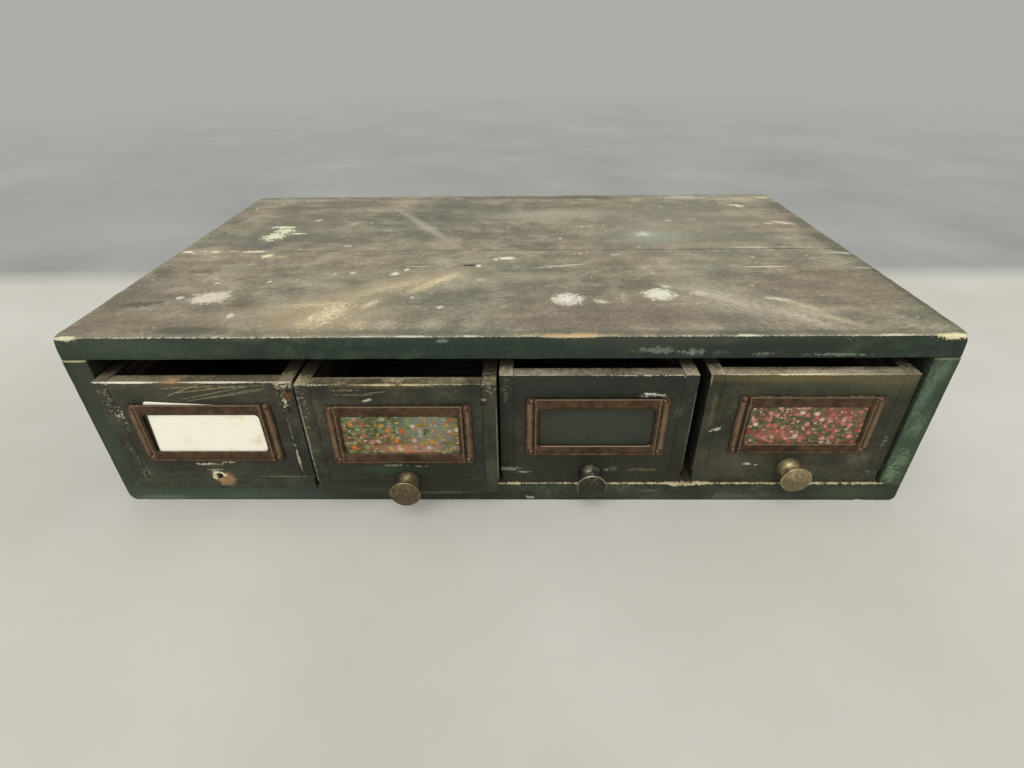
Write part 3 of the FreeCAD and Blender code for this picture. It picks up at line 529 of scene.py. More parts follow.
        (275, 143, 10, 6, -28, 0.12, 1.8, 0.97, "#eae4cd"), (302, 72, 12, 3, -28, 0.15, 1.5, 0.95, "#e5dfc9"),
        (286, 69, 4, 2, 0, 0.15, 1.5, 0.9, "#ded7c1"), (178, 82, 5, 3, 0, 0.15, 1.6, 0.85, "#d8d1bb"),
        (87, 64, 7, 6, 0, 0.2, 2.2, 0.8, "#cbc4ae"), (-222, 92, 4, 5, 0, 0.15, 1.6, 0.85, "#d3ccb7"),
        (-164, 1, 4, 3.5, 0, 0.15, 1.6, 0.85, "#cfc8b2"), (-53, -148, 3, 3, 0, 0.15, 1.4, 0.9, "#ddd6c0"),
        (261, 112, 14, 22, 0, 0.35, 1.9, 0.45, "#bfb6a0"), (318, -27, 10, 3, -12, 0.2, 1.6, 0.9, "#d4cbb5"),
        (319, -67, 8, 2.6, 0, 0.25, 1.5, 0.75, "#c0b39e"), (93, 178, 11, 3, 0, 0.2, 1.8, 0.8, "#c0b8a2"),
    )
] + [
    # The front arris and the front edge below it
    ((46.5, -196.6, 159.4), (19, 3, 1.8), 0, 0.3, 1.5, 0.95, "#dcbb80"),
    ((72, -196.6, 159.4), (15, 2, 1.2), 0, 0.2, 2.2, 0.9, "#d3c996"),
    ((17, -196.6, 159.4), (12, 1.6, 1.2), 0, 0.2, 2.2, 0.9, "#d6cc92"),
    ((-25, -197.2, 159.2), (6, 1.4, 0.8), 0, 0.2, 1.6, 0.95, "#e3dcc0"),
    ((-68, -197.2, 159.2), (13, 1.4, 0.8), 0, 0.2, 1.6, 0.95, "#e5dfc6"),
    ((-100, -197.2, 159.2), (11, 1.4, 0.8), 0, 0.2, 2.0, 0.9, "#ddd6bb"),
    ((172, -197.2, 159.2), (9, 1.5, 0.9), 0, 0.2, 1.6, 0.95, "#e4dfc6"),
    ((276, -197.2, 159.2), (13, 1.4, 0.8), 0, 0.2, 1.8, 0.9, "#ddd8c0"),
    ((-321, -198.6, 158.8), (10, 3, 2.2), 0, 0.25, 1.2, 0.95, "#efe9c4"),
    ((319, -198.2, 158.4), (12, 3, 2.8), 0, 0.25, 1.3, 0.95, "#ece4b4"),
    ((-45, -199, 155.5), (5, 3, 1.6), -15, 0.2, 1.6, 0.8, "#869083"),
    ((110, -199, 147.5), (16, 3, 3), 0, 0.3, 1.8, 0.7, "#848f82"),
    ((136, -199, 146), (9, 3, 3.5), 0, 0.3, 1.9, 0.7, "#8e978b"),
    ((240, -199, 143.5), (26, 3, 1.4), 0, 0.25, 2.0, 0.8, "#778172"),
    ((186, -199, 144), (7, 3, 1.8), 0, 0.25, 1.8, 0.6, "#778172"),
    ((-270, -199, 150), (60, 3, 8), 0, 0.6, 1.0, 0.5, "#465446"),
    ((0, -199, 150), (150, 3, 9), 0, 0.7, 0.9, 0.4, "#293c31"),
]
scrubbed_paint = painted_wood(
    "scrubbed oil paint on the top", GRAIN_ALONG_X,
    [(0.3, "#1d2921"), (0.5, "#253128"), (0.62, "#2d3a2e"), (0.76, "#3e4a3d")],
    [(0.2, "#706b5c"), (0.4, "#898372"), (0.5, "#978f7c"), (0.6, "#a39a86"), (0.8, "#bbb29c")],
    OLD_WOOD, "#e6e0c9", 0.5, TOP_MARKS, "Z", (14, 0.5, "#d3cab2"),
)
TOP_RUBS = [(-330, 330, 0.6), (-330, -316, 1.4), (-300, -150, 0.4), (30, 62, 1.2), (-75, -53, 0.5),
            (102, 146, 0.4), (164, 182, 0.5), (263, 289, 0.5), (314, 330, 1.6)]
TOP_KNOCKS = [(-314, 5, 0.8), (-222, 5, 0.9), (-178, 6, 0.9), (-40, 5, 0.7), (46, 18, 0.9), (118, 6, 0.8),
              (262, 7, 0.9), (300, 5, 0.7), (330, 9, 1.4), (-330, 9, 1.2)]
for node, outer in (("top_front_board", -198.25), ("top_rear_board", 198.25)):
    worn_board(
        node, "case", scrubbed_paint, 4.0,
        {"top": 1.0, "front": 1.0, "rear": 1.0, "left": 1.0, "right": 1.0, "under": 0.4},
        scrub={"top": 1.0}, radius=1.5, uneven=0.2,
        rubbed=[((start, outer, TOP), (end, outer, TOP), more) for start, end, more in TOP_RUBS] + [
            ((-330, -13.4, TOP), (-240, -13.4, TOP), 0.7), ((330, outer, 158), (330, outer, 142), 0.5)],
        chips=[(x, outer, TOP, *knock) for x, *knock in TOP_KNOCKS],
    )


# Cut iron nails hold the planks together. Their heads are driven a little below the wood,
# so the light finds only small dull discs in dimples, brown with rust where the paint has gone.
def rusty_iron(name):
    """Iron with a film of rust, in patches of about 1 mm: rough, dark and dull."""
    material, tree, shader, place = new_material(name)
    patches = add(tree, "TexNoise", {"Scale": 900.0, "Detail": 4.0}, {"Vector": place})
    colour = add(tree, "ValToRGB", {"stops": [(0.35, "#2d2926"), (0.5, "#4a3f37"), (0.65, "#6a4c36")]},
                 {"Fac": patches})
    metal = add(tree, "MapRange", {"From Min": 0.6, "From Max": 0.4, "To Min": 0.1, "To Max": 0.9},
                {"Value": patches})
    rough = add(tree, "MapRange", {"To Min": 0.45, "To Max": 0.95}, {"Value": patches})
    bump = add(tree, "Bump", {"Strength": 0.5, "Distance": 0.0002}, {"Height": patches})
    feed(tree, shader, {"Base Color": colour, "Metallic": metal, "Roughness": rough, "Normal": bump})
    return material


iron = rusty_iron("rusty cut iron")
nail_nodes = ["case_nails"] + ["drawer_%d_nails" % number for number in (1, 2, 3, 4)]
for node in nail_nodes + ["drawer_%d_knob_screw" % number for number in (2, 3, 4)]:
    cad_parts[node].data.materials.clear()
    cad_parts[node].data.materials.append(iron)


# Each drawer is five softwood boards: the front and back between two long sides, and a bottom below them.
# The front is painted charcoal green, and flaked to the wood along the top and at the end grain beside it.
# The paint on the sides and the bottom fades out within 50 mm of the front, and the rest is bare.
# The drawers' bare wood is darker than the case's old wood, partly as painted shade for the dark insides of
# the drawers
DRAWER_WOOD = [(0.2, "#3f352a"), (0.45, "#4f4335"), (0.6, "#5d5040"), (0.85, "#75674f")]
CHARCOAL = {
    1: [(0.3, "#27261e"), (0.48, "#323129"), (0.62, "#3d3d31"), (0.76, "#4a483b")],
    2: [(0.3, "#26261e"), (0.48, "#313128"), (0.62, "#3d3c30"), (0.76, "#49483a")],
    3: [(0.3, "#242620"), (0.48, "#2a2c25"), (0.62, "#2f3129"), (0.76, "#383b31")],
    4: [(0.3, "#292a1f"), (0.48, "#333428"), (0.62, "#3e3e30"), (0.76, "#4b4a39")],
}
TOP_FACES = {
    1: [(0.3, "#565144"), (0.5, "#6c6553"), (0.7, "#90866e")],
    2: [(0.3, "#524d40"), (0.5, "#80775f"), (0.7, "#bab08e")],
    3: [(0.3, "#8d8671"), (0.5, "#b0a892"), (0.7, "#cec7af")],
    4: [(0.3, "#aba289"), (0.5, "#cbc2a7"), (0.7, "#e6ddc4")],
}
SCRUB = {1: 0.8, 2: 0.9, 3: 1.0, 4: 1.0}
ROUNDING = {1: 0.6, 2: 0.45, 3: 0.3, 4: 0.25}
FRONTS = {1: -205.25, 2: -209.25, 3: -196.75, 4: -195.75}
SIDES = {1: (-309.8, -159.3), 2: (-156.5, -7.0), 3: (-5.5, 145.0), 4: (153.5, 309.2)}
HOLDERS = {1: (-235.5, 79.0), 2: (-82.0, 80.0), 3: (70.5, 77.8), 4: (234.5, 78.8)}
WORN_HOLE = (-239.4, FRONTS[1], 33.6)
# The middle of each mark is given across, behind the front's face and up, and then come its half sizes
DRAWER_MARKS = {
    1: [
        (-225, 0, 116, 52, 3, 9, -4, 0.5, 1.2, 0.35, "#423d2d"),
        (-246, 0, 124, 20, 2, 2.4, 0, 0.3, 1.3, 0.6, "#685439"),
        (-286, 0.3, 125.4, 24, 1.3, 1.0, 0, 0.25, 1.0, 0.92, "#f2ecda"),
        (-216, 0.3, 125.4, 26, 1.2, 0.9, 0, 0.25, 1.4, 0.9, "#e8e1c9"),
        (-180, 0.3, 125.4, 14, 1.0, 0.8, 0, 0.25, 2.0, 0.8, "#c2baa1"),
        (-250, 0, 125.5, 5.5, 6, 1.4, 0, 0.25, 1.4, 0.85, "#c39f74"),
        (-236, 0, 121, 34, 6, 0.7, -3, 0.25, 1.9, 0.58, "#9b916b"),
        (-243, 0, 118.4, 20, 6, 0.6, -22, 0.3, 1.8, 0.58, "#9b9174"),
        (-226, 0, 118.8, 32, 6, 0.7, -7, 0.25, 1.9, 0.6, "#978e68"),
        (-213, 0, 113.5, 32, 6, 0.7, -9, 0.3, 1.8, 0.6, "#918a72"),
        (-219, 0, 116, 35, 6, 0.7, -12, 0.3, 1.8, 0.58, "#898161"),
        (-203, 0, 121.2, 30, 6, 0.6, -3, 0.3, 1.9, 0.7, "#908764"),
        (-195, 0, 117.5, 20, 6, 0.6, -10, 0.3, 1.9, 0.7, "#827c5f"),
        (-303, 0, 112, 8, 14, 22, -8, 0.2, 3.2, 0.9, "#ada78b"),
        (-302, 0, 110, 9, 14, 24, -8, 0.2, 3.0, 0.7, "#595946"),
        (-299, 0, 96, 6, 14, 12, -8, 0.15, 3.0, 0.95, "#b7b39c"),
        (-298, 0, 86, 6, 14, 7, 0, 0.15, 3.2, 0.8, "#85917e"),
        (-302, 0, 60, 1.6, 14, 26, -8, 0.3, 2.6, 0.7, "#6f7462"),
        (-301, 0, 38, 8, 14, 10, 20, 0.3, 3.0, 0.8, "#777e6b"),
        (-167, 0, 113, 8, 14, 17, 0, 0.2, 2.9, 0.8, "#746143"),
        (-166, 0, 122, 8, 14, 7, 0, 0.15, 2.5, 0.95, "#c9be9e"),
        (-168, 0, 107, 5, 14, 9, 0, 0.15, 2.7, 0.95, "#cbc3a5"),
        (-164, 0, 114, 4, 14, 5, 0, 0.2, 2.0, 0.85, "#673e24"),
        (-163, 0, 118, 2.4, 14, 2, 0, 0.2, 1.6, 0.9, "#1a1610"),
        (-166, 0, 101, 2, 14, 3, 0, 0.2, 1.6, 0.9, "#1c1913"),
        (-169.6, 0, 82, 1.1, 14, 24, 0, 0.2, 2.6, 0.8, "#9e9980"),
        (-169, 0, 52, 1.2, 14, 12, 0, 0.2, 1.8, 0.9, "#aea98f"),
        (-239, 0, 46.5, 15, 8, 2.0, 0, 0.25, 2.5, 0.85, "#848068"),
        (-246, 0, 46.8, 9, 8, 1.1, 0, 0.2, 2.0, 0.95, "#c5be9f"),
        (-227, 0, 48.5, 8, 8, 1.2, 0, 0.2, 2.2, 0.9, "#aaa37c"),
        (-241, 0, 40.5, 7, 8, 1.1, 0, 0.2, 2.0, 0.8, "#9d9578"),
        (-235.0, 0, 30.8, 7.4, 12, 6.4, 14, 0.25, 1.0, 0.97, "#a18156"),
        (-232.5, 0, 28.0, 5, 12, 3.6, 20, 0.3, 1.4, 0.7, "#836543"),
        (-238.8, 0, 35.6, 5.6, 12, 2.8, 20, 0.15, 0.8, 0.97, "#e1d6b6"),
        (-243.0, 0, 32.6, 1.8, 12, 2.6, 0, 0.2, 0.8, 0.9, "#d5c9a5"),
        (-239.3, 0, 33.2, 2.6, 12, 2.2, 0, 0.15, 0.5, 0.98, "#1a120b"),
        (-185, 0, 33, 20, 8, 0.6, 0, 0.2, 1.6, 0.7, "#73745f"),
        (-275, 0, 42, 18, 8, 4, 0, 0.5, 1.6, 0.5, "#23221c"),
    ],
    2: [
        (-96, 0, 124.6, 40, 6, 2.6, 0, 0.3, 1.6, 0.7, "#594d34"),
        (-84, 0, 125.2, 26, 1.5, 0.8, 0, 0.25, 1.6, 0.9, "#cbc395"),
        (-88, 10.4, 125.5, 48, 1.5, 1, 0, 0.25, 1.6, 0.9, "#beb495"),
        (-80, 6, 125.5, 0.6, 5, 1.2, 0, 0.2, 1.6, 0.8, "#bfb69a"),
        (-55, 0, 123.8, 18, 6, 1.0, 0, 0.25, 2.0, 0.5, "#816d4b"),
        (-120, 0, 120.5, 15, 6, 1.0, 0, 0.25, 2.0, 0.6, "#867f5e"),
        (-114, 0, 116.5, 17, 6, 0.7, 0, 0.25, 2.0, 0.55, "#8c8465"),
        (-97, 0, 118.5, 8, 6, 0.5, -6, 0.25, 1.8, 0.7, "#8c8465"),
        (-104, 0, 111.6, 3.5, 6, 1, -18, 0.2, 1.2, 0.9, "#bab6a0"),
        (-152, 0, 112, 5, 14, 14, 2, 0.2, 3.2, 0.65, "#9a987f"),
        (-152, 0, 88, 6, 14, 22, 2, 0.2, 3.4, 0.55, "#84856f"),
        (-151, 0, 60, 5, 14, 22, 0, 0.2, 3.5, 0.5, "#73765f"),
        (-155.6, 0, 76, 1.1, 8, 48, 0, 0.3, 1.8, 0.7, "#8f8d76"),
        (-17.5, 0, 109, 2.6, 8, 3.4, 0, 0.2, 1.9, 0.9, "#141310"),
        (-16.5, 0, 112, 2.2, 8, 1, 0, 0.2, 1.6, 0.7, "#9f9b83"),
        (-7.4, 0, 70, 0.7, 8, 45, 0, 0.3, 1.8, 0.6, "#85826c"),
        (-12, 0, 120, 6, 8, 6, 0, 0.3, 2.6, 0.6, "#908b75"),
        (-12, 0, 40, 5, 8, 20, 0, 0.5, 1.8, 0.25, "#565545"),
        (-90, 0, 44, 22, 8, 4, 0, 0.3, 1.5, 0.7, "#2b452f"),
        (-92, 0, 48.5, 9, 8, 1, 0, 0.2, 1.8, 0.8, "#868974"),
        (-70, 0, 47.6, 6, 8, 0.9, 0, 0.2, 1.8, 0.8, "#868974"),
        (-118, 0, 29, 28, 8, 4, 0, 0.5, 1.6, 0.5, "#201f1a"),
    ],
    3: [
        (113, 0, 107.4, 11, 8, 1.8, -4, 0.12, 2.0, 0.85, "#a3a08f"),
        (109, 0, 108.4, 5, 8, 1.3, 0, 0.12, 1.8, 0.9, "#cfcdc0"),
        (117, 0, 107.6, 4, 8, 0.9, 0, 0.12, 2.0, 0.9, "#c2bfb0"),
        (121, 0, 106.5, 4, 8, 1.0, 0, 0.15, 1.8, 0.6, "#98957f"),
        (-1, 0, 112, 5, 10, 14, 0, 0.3, 2.8, 0.8, "#666352"),
        (72, 0, 40, 84, 8, 17, 0, 0.7, 0.6, 0.5, "#282519"),
        (70.5, 0, 77.8, 49, 8, 21, 0, 0.4, 0.3, 0.75, "#373d33"),
        (40, 0, 118, 40, 8, 8, 0, 0.8, 1.0, 0.3, "#29362a"),
        (2, 0, 34.6, 9, 8, 2.4, 0, 0.2, 1.9, 0.85, "#918f78"),
        (12, 0, 30.6, 7, 8, 0.8, 0, 0.2, 1.8, 0.8, "#a5a28c"),
        (0, 0, 38, 6, 8, 5, 0, 0.3, 2.2, 0.6, "#1c1c17"),
        (144.5, 0, 80, 0.7, 8, 46, 0, 0.3, 2.0, 0.55, "#757765"),
        (134, 0, 92, 5, 8, 5, 0, 0.4, 2.2, 0.5, "#5a5b4a"),
        (88, 0, 34, 4, 8, 3, 0, 0.3, 1.9, 0.45, "#6b6a56"),
        (112, 0, 33, 16, 8, 2, 0, 0.4, 1.9, 0.5, "#726447"),
        (82, 0, 33, 2, 8, 2, 0, 0.2, 1.2, 0.6, "#87846e"),
    ],
    4: [
        (216, 0, 120, 34, 3, 5, 0, 0.5, 1.2, 0.65, "#504e30"),
        (238, 0, 122.2, 64, 2.6, 3.0, 0, 0.8, 1.2, 0.6, "#74653f"),
        (154.4, 0, 121, 0.6, 4, 4, 0, 0.2, 1.4, 0.6, "#a59d82"),
        # A painted shadow: the outer face of the left side, in the gap beside drawer 3, is nearly black
        (153.5, 44, 78, 0.8, 45, 60, 0, 0.3, 0.4, 0.7, "#131310"),
        (231, 9.6, 125.5, 84, 3.8, 3, 0, 0.6, 0.9, 0.6, "#655e50"),
        (248, 0.3, 125.4, 56, 1.3, 1.0, 0, 0.25, 1.4, 0.92, "#e6dcb8"),
        (175, 0.3, 125.4, 18, 1.0, 0.8, 0, 0.25, 1.8, 0.8, "#b9b093"),
        (262, 0, 121, 30, 3, 4, 0, 0.5, 1.2, 0.6, "#574830"),
        (298, 0, 120, 9, 3, 6, 0, 0.5, 1.2, 0.6, "#665538"),
        (280, 0, 117, 26, 8, 9, 0, 0.8, 1.0, 0.7, "#5c583e"),
        (297, 0, 84, 11, 8, 26, 0, 0.8, 1.0, 0.45, "#2e2e24"),
        (164, 0, 73.5, 9, 8, 2.4, -32, 0.15, 2.7, 0.95, "#bebcab"),
        (199, 0, 38.5, 5, 8, 1.4, 8, 0.15, 2.0, 0.95, "#c5c1ad"),
        (205, 0, 37.6, 1.6, 8, 0.9, 0, 0.15, 1.2, 0.9, "#aca792"),
        (301, 0, 29, 6, 8, 6, 0, 0.15, 3.4, 0.75, "#8f8b77"),
        (303, 0, 62, 3, 10, 7, 12, 0.3, 2.6, 0.7, "#747661"),
        (286, 0, 44, 13, 8, 10, -24, 0.4, 2.2, 0.6, "#635f4b"),
        (160, 0, 95, 2, 8, 22, 0, 0.4, 2.0, 0.4, "#67634e"),
        (180, 0, 40, 22, 8, 12, 0, 0.7, 1.4, 0.45, "#4f4d3c"),
        (235, 0, 112, 60, 8, 5, 0, 0.6, 1.2, 0.4, "#313929"),
    ],
}
# Heights of the front's top and foot and of the drawer's underside, the drawer's length, half a side board's
# thickness, and how far the pins are above and below the holder's middle, in mm
DRAWER_TOP, FRONT_FOOT, UNDERSIDE = 125.5, 31.5, 19.8
DRAWER_LENGTH = 380
SIDE_HALF = 5.5
PIN_RISE = 24.5
TOP_ARRIS_WEAR = {
    1: [(-300, -196, 0.8), (-290, -270, 0.5), (-196, -172, 0.4), (-171, -160, 1.5)],
    2: [(-156, -140, 0.6), (-140, -30, 0.5), (-112, -60, 0.3), (-20, -8, 0.4)],
    3: [(-5, 145, 0.4), (70, 130, 0.6)],
    4: [(154, 309, 0.5), (170, 290, 0.5)],
}
FRONT_CHIPS = {
    1: [(-236, 31.6, 6, 1.0), (-250, DRAWER_TOP, 8, 0.8)],
    2: [(-80, DRAWER_TOP, 7, 0.9), (-120, DRAWER_TOP, 6, 0.7)],
    3: [(100, DRAWER_TOP, 6, 0.7)],
    4: [(200, DRAWER_TOP, 6, 0.6)],
}
for number, front in FRONTS.items():
    left, right = SIDES[number]
    back = front + DRAWER_LENGTH
    holder_height = HOLDERS[number][1]
    marks = [((x, front + y, z), (wide, deep, tall), *look)
             for x, y, z, wide, deep, tall, *look in DRAWER_MARKS[number]]
    # Only the first 11 mm of the top edges stay pale. Behind them the edges are painted dark, a painted
    # shadow of the case's top board that hangs over them
    middle = ((left + right) / 2, front + 201, DRAWER_TOP)
    marks.append((middle, (600, 190, 7), 0, 0.025, 0.05, 0.9, "#312a20"))
    charcoal = painted_wood(
        "charcoal green oil paint on drawer %d" % number, GRAIN_ALONG_X, CHARCOAL[number],
        TOP_FACES[number], DRAWER_WOOD, "#d9d1b3", 0.48, marks,
    )
    end_grain = painted_wood(
        "charcoal green oil paint on the sides of drawer %d" % number, GRAIN_ALONG_Y, CHARCOAL[number],
        TOP_FACES[number], DRAWER_WOOD, "#d9d1b3", 0.5, marks,
    )
    wear = [((start, front, DRAWER_TOP), (end, front, DRAWER_TOP), more)
            for start, end, more in TOP_ARRIS_WEAR[number]]
    levels = [(FRONT_FOOT + holder_height - PIN_RISE) / 2, holder_height,
              (holder_height + PIN_RISE + DRAWER_TOP) / 2]
    hole = WORN_HOLE if number == 1 else None
    name = "drawer_%d_" % number
    body = "drawer_%d" % number
    worn_board(
        name + "front", body, charcoal, 4.0,
        {"front": 1.0, "left": 1.0, "right": 1.0, "under": 1.0, "top": 0.8, "rear": 0.0},
        scrub={"top": SCRUB[number]}, radius=ROUNDING[number], rubbed=wear, hole=hole,
        chips=[(x, front, *knock) for x, *knock in FRONT_CHIPS[number]],
    )
    for side, x in (("left", left), ("right", right)):
        inner = "right" if side == "left" else "left"
        worn_board(
            name + side + "_side", body, end_grain, 6.0,
            {"front": 1.0, side: 0.95, "top": 0.8, inner: 1.0, "under": 1.0, "rear": 0.0},
            scrub={"top": SCRUB[number]}, fade=(front + 9, front + 50), radius=ROUNDING[number], rubbed=wear,
            heads=[(x, y, z) for y in (front + SIDE_HALF, back - SIDE_HALF) for z in levels],
        )
    worn_board(name + "back", body, charcoal, 6.0, {"front": 0.0}, radius=0.6)
    worn_board(
        name + "bottom", body, charcoal, 7.0,
        {"front": 1.0, "left": 1.0, "right": 1.0, "top": 1.0, "under": 0.0}, fade=(front + 2, front + 30),
        radius=ROUNDING[number], chips=[(-236, front, 31.4, 5, 0.9)] if number == 1 else (),
        heads=[(x, front + DRAWER_LENGTH * share, UNDERSIDE)
               for x in (left + SIDE_HALF, right - SIDE_HALF) for share in (1 / 6, 0.5, 5 / 6)],
    )


# The label holder is pressed from one sheet of copper-plated steel: two rounded flanges that the pins go
# through, a raised frame round the window, and beads rolled on its sides and its top lip. The plating has
# gone brown, rubbed bright along the beads, with dirt in the grooves, and the window's sill has a painted
# highlight.
def brown_copper(name):
    """Tarnished copper plate: brown patches of 8 mm with stains of 1.4 mm, warm and bright where rubbed and
    where a highlight is painted.
    """
    material, tree, shader, place = new_material(name)
    patches = add(tree, "TexNoise", {"Scale": 130.0, "Detail": 6.0, "Roughness": 0.65}, {"Vector": place})
    stain = add(tree, "TexNoise", {"Scale": 700.0, "Detail": 3.0}, {"Vector": place})
    proud = add(tree, "Attribute", {"attribute_name": "proud"}).outputs["Fac"]
    tarnish = add(tree, "ValToRGB",
                  {"stops": [(0.34, "#3a2c1f"), (0.48, "#503d2b"), (0.6, "#624b35"), (0.74, "#735b41")]},
                  {"Fac": patches})
    rubbed_and_highlit = add(tree, "Math", {"operation": "MULTIPLY_ADD", 1: 0.8}, {0: stain, 2: proud})
    rubbed_and_highlit = add(tree, "MapRange", {"From Min": 0.95, "From Max": 1.45}, {"Value": rubbed_and_highlit})
    colour = add(tree, "MixRGB", {"Color2": linear("#8c765e")}, {"Fac": rubbed_and_highlit, "Color1": tarnish})
    sunk = add(tree, "MapRange", {"From Min": 0.25, "From Max": 0.0, "To Max": 0.5}, {"Value": proud})
    colour = add(tree, "MixRGB", {"Color2": linear("#2b231b")}, {"Fac": sunk, "Color1": colour})
    rough = add(tree, "MapRange", {"From Min": 0.3, "From Max": 0.7, "To Min": 0.42, "To Max": 0.62},
                {"Value": patches})
    bump = add(tree, "Bump", {"Strength": 0.35, "Distance": 0.0002}, {"Height": stain})
    feed(tree, shader, {"Base Color": colour, "Roughness": rough, "Normal": bump})
    shader.inputs["Metallic"].default_value = 0.7
    return material


def both_ways(places):
    """Places on both sides of a middle line, in order."""
    return np.array(sorted({-place for place in places} | set(places)))


def sheet_cells(shape):
    """The quads of a sheet whose points stand in rows and columns."""
    index = np.arange(shape[0] * shape[1]).reshape(shape)
    return np.stack([index[:-1, :-1], index[1:, :-1], index[1:, 1:], index[:-1, 1:]], -1)


def rounded(across, up, half_width, half_height, radius, inside):
    """Moves the points near the corners of a rectangle so that its corners become round."""
    signs = np.stack([np.sign(across), np.sign(up)], -1)
    away = np.stack([np.abs(across) - (half_width - radius), np.abs(up) - (half_height - radius)], -1)
    corner = (away > 0).all(axis=-1)
    square = np.maximum(away.max(axis=-1), 1e-9)
    onto = away * (np.minimum(square, radius) / np.maximum(np.linalg.norm(away, axis=-1), 1e-9))[..., None]
    onto = onto * np.maximum(square / radius, 1)[..., None]
    share = np.clip(1 - (square - radius) / inside, 0, 1) if inside else np.ones_like(square)
    moved = away + (onto - away) * share[..., None]
    moved = np.where(corner[..., None], moved, away)
    return (signs[..., 0] * (moved[..., 0] + half_width - radius),
            signs[..., 1] * (moved[..., 1] + half_height - radius))


# Half sizes and places from the holder's middle, in mm, across and up where there are two
WINDOW_HALF = (45.0, 17.75)
HOLDER_HALF = (56.0, 28.0)
FRAME_HALF = 49.0
BEAD_AT, BEAD_HALF = (47.9, 27.1), 0.85
FLANGE_MIDDLE, FLANGE_HALF = 52.6, 3.5
PIN_AT, PIN_SEAT = (51.4, PIN_RISE), 3.0
WINDOW_CORNER, HOLDER_CORNER = 3.5, 3.0
HOLDER_SHEET = 0.6
# The mesh is cut close together at the edges, the beads and the flanges
across_lines = both_ways([
    0, 8, 16, 24, 32, 38, 41.5, 42.2, 42.9, 43.6, 44.3, 45.0, 45.3, 45.7, 46.2, 46.7, 47.0, 47.3, 47.6, 47.9,
    48.2, 48.5, 48.8, 49.1, 49.5, 50.1, 50.8, 51.5, 52.2, 52.9, 53.6, 54.3, 54.9, 55.4, 55.8, 56.0])
up_lines = both_ways([
    0, 4, 8, 12, 14.25, 15, 15.7, 16.4, 17.1, 17.75, 18.05, 18.45, 19, 19.8, 20.8, 21.6, 22.2, 22.8, 23.4,
    24.0, 24.6, 25.2, 25.8, 26.3, 26.6, 26.9, 27.2, 27.5, 27.8, 28.0])
SILL_HIGHLIGHT = {1: 0.35, 2: 0.5, 3: 1.0, 4: 0.9}
for number, (middle_x, middle_z) in HOLDERS.items():
    across, up = np.meshgrid(across_lines, up_lines, indexing="ij")
    wide, tall = np.abs(across), np.abs(up)
    frame_part = wide < FRAME_HALF
    outside = np.maximum(wide - WINDOW_HALF[0], tall - WINDOW_HALF[1])
    # How far the frame stands off the wood: its face, turned in at the window, then the beads, a ridge and a
    # groove above the foot, and the foot that curls back to the wood
    stands = 2.45 - 0.8 * np.exp(-np.clip(outside, 0, 9) / 0.45)
    side_bead = np.sqrt(np.clip(1 - ((wide - BEAD_AT[0]) / BEAD_HALF) ** 2, 0, 1))
    side_bead = side_bead * np.clip((26.8 + up) / 1.5, 0, 1)
    top_bead = np.sqrt(np.clip(1 - ((up - BEAD_AT[1]) / BEAD_HALF) ** 2, 0, 1))
    stands += 0.6 * np.maximum(side_bead, top_bead)
    stands += 0.35 * np.exp(-((up + 26.4) / 0.7) ** 2) - 0.25 * np.exp(-((up + 24.6) / 0.6) ** 2)
    stands = np.where(up < -27.0, stands - 1.7 * ((-27.0 - up) / 1.0) ** 2, stands)
    # The flanges are low and half round, pressed flat where the pins go through
    flange = 0.75 + 1.05 * np.sqrt(np.clip(1 - ((wide - FLANGE_MIDDLE) / FLANGE_HALF) ** 2, 0, 1))
    flange -= 0.5 * np.exp(-((HOLDER_HALF[1] - tall) / 0.5) ** 2)
    pin = np.hypot(wide - PIN_AT[0], tall - PIN_AT[1])
    seat = np.clip((PIN_SEAT - pin) / 0.8, 0, 1)
    flange = flange * (1 - seat) + 0.92 * seat
    stands = np.where(frame_part, stands, flange)
    where = np.stack([across, up, np.full_like(across, number * 50.0)], -1).reshape(-1, 3)
    stands = stands + 0.12 * (spots(where, 9, number).reshape(across.shape) - 0.5)
    # The raised parts are rubbed bright, and the sill of the window has a painted highlight, strongest on
    # drawers 3 and 4
    proud = np.clip((stands - np.where(frame_part, 2.3, 1.1)) / 0.9, 0, 1) ** 0.7
    proud = np.where(frame_part | (seat > 0), proud, np.clip((stands - 0.9) / 0.95, 0, 1) ** 2)
    highlit_sill = (np.abs(outside - 0.4) < 0.75) & (up < -WINDOW_HALF[1] + 1) & (wide < WINDOW_HALF[0])
    proud = np.where(highlit_sill, SILL_HIGHLIGHT[number], proud)
    across, up = rounded(across, up, *HOLDER_HALF, HOLDER_CORNER, 0)
    across, up = rounded(across, up, *WINDOW_HALF, WINDOW_CORNER, 4.0)
    points = np.stack([middle_x + across, FRONTS[number] - stands, middle_z + up], -1).reshape(-1, 3)
    cells = sheet_cells(across.shape)
    centre_wide = (wide[:-1, :-1] + wide[1:, 1:]) / 2
    centre_tall = (tall[:-1, :-1] + tall[1:, 1:]) / 2
    kept = (centre_wide > WINDOW_HALF[0]) | (centre_tall > WINDOW_HALF[1])
    copper = brown_copper("tarnished copper plate %d" % number)
    name = "label_holder_%d_pressed" % number
    holder = new_object(name, points, cells[kept], copper, {"proud": proud.ravel()})
    sheet = holder.modifiers.new("sheet", "SOLIDIFY")
    sheet.thickness = HOLDER_SHEET * MM
    sheet.offset = -1
    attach(holder, "drawer_%d" % number)
    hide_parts("drawer_%d_label_holder" % number)


# Four small pins with domed heads hold each label holder on the wood.
# They are the same coppered steel, rubbed a little brighter all over.
pin_copper = brown_copper("tarnished copper plate on the pins")
for number in HOLDERS:
    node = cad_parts["drawer_%d_label_pins" % number]
    node.data.materials.clear()
    node.data.materials.append(pin_copper)
    shine = node.data.attributes.new("proud", "FLOAT", "POINT")
    shine.data.foreach_set("value", np.full(len(node.data.vertices), 0.8, np.float32))


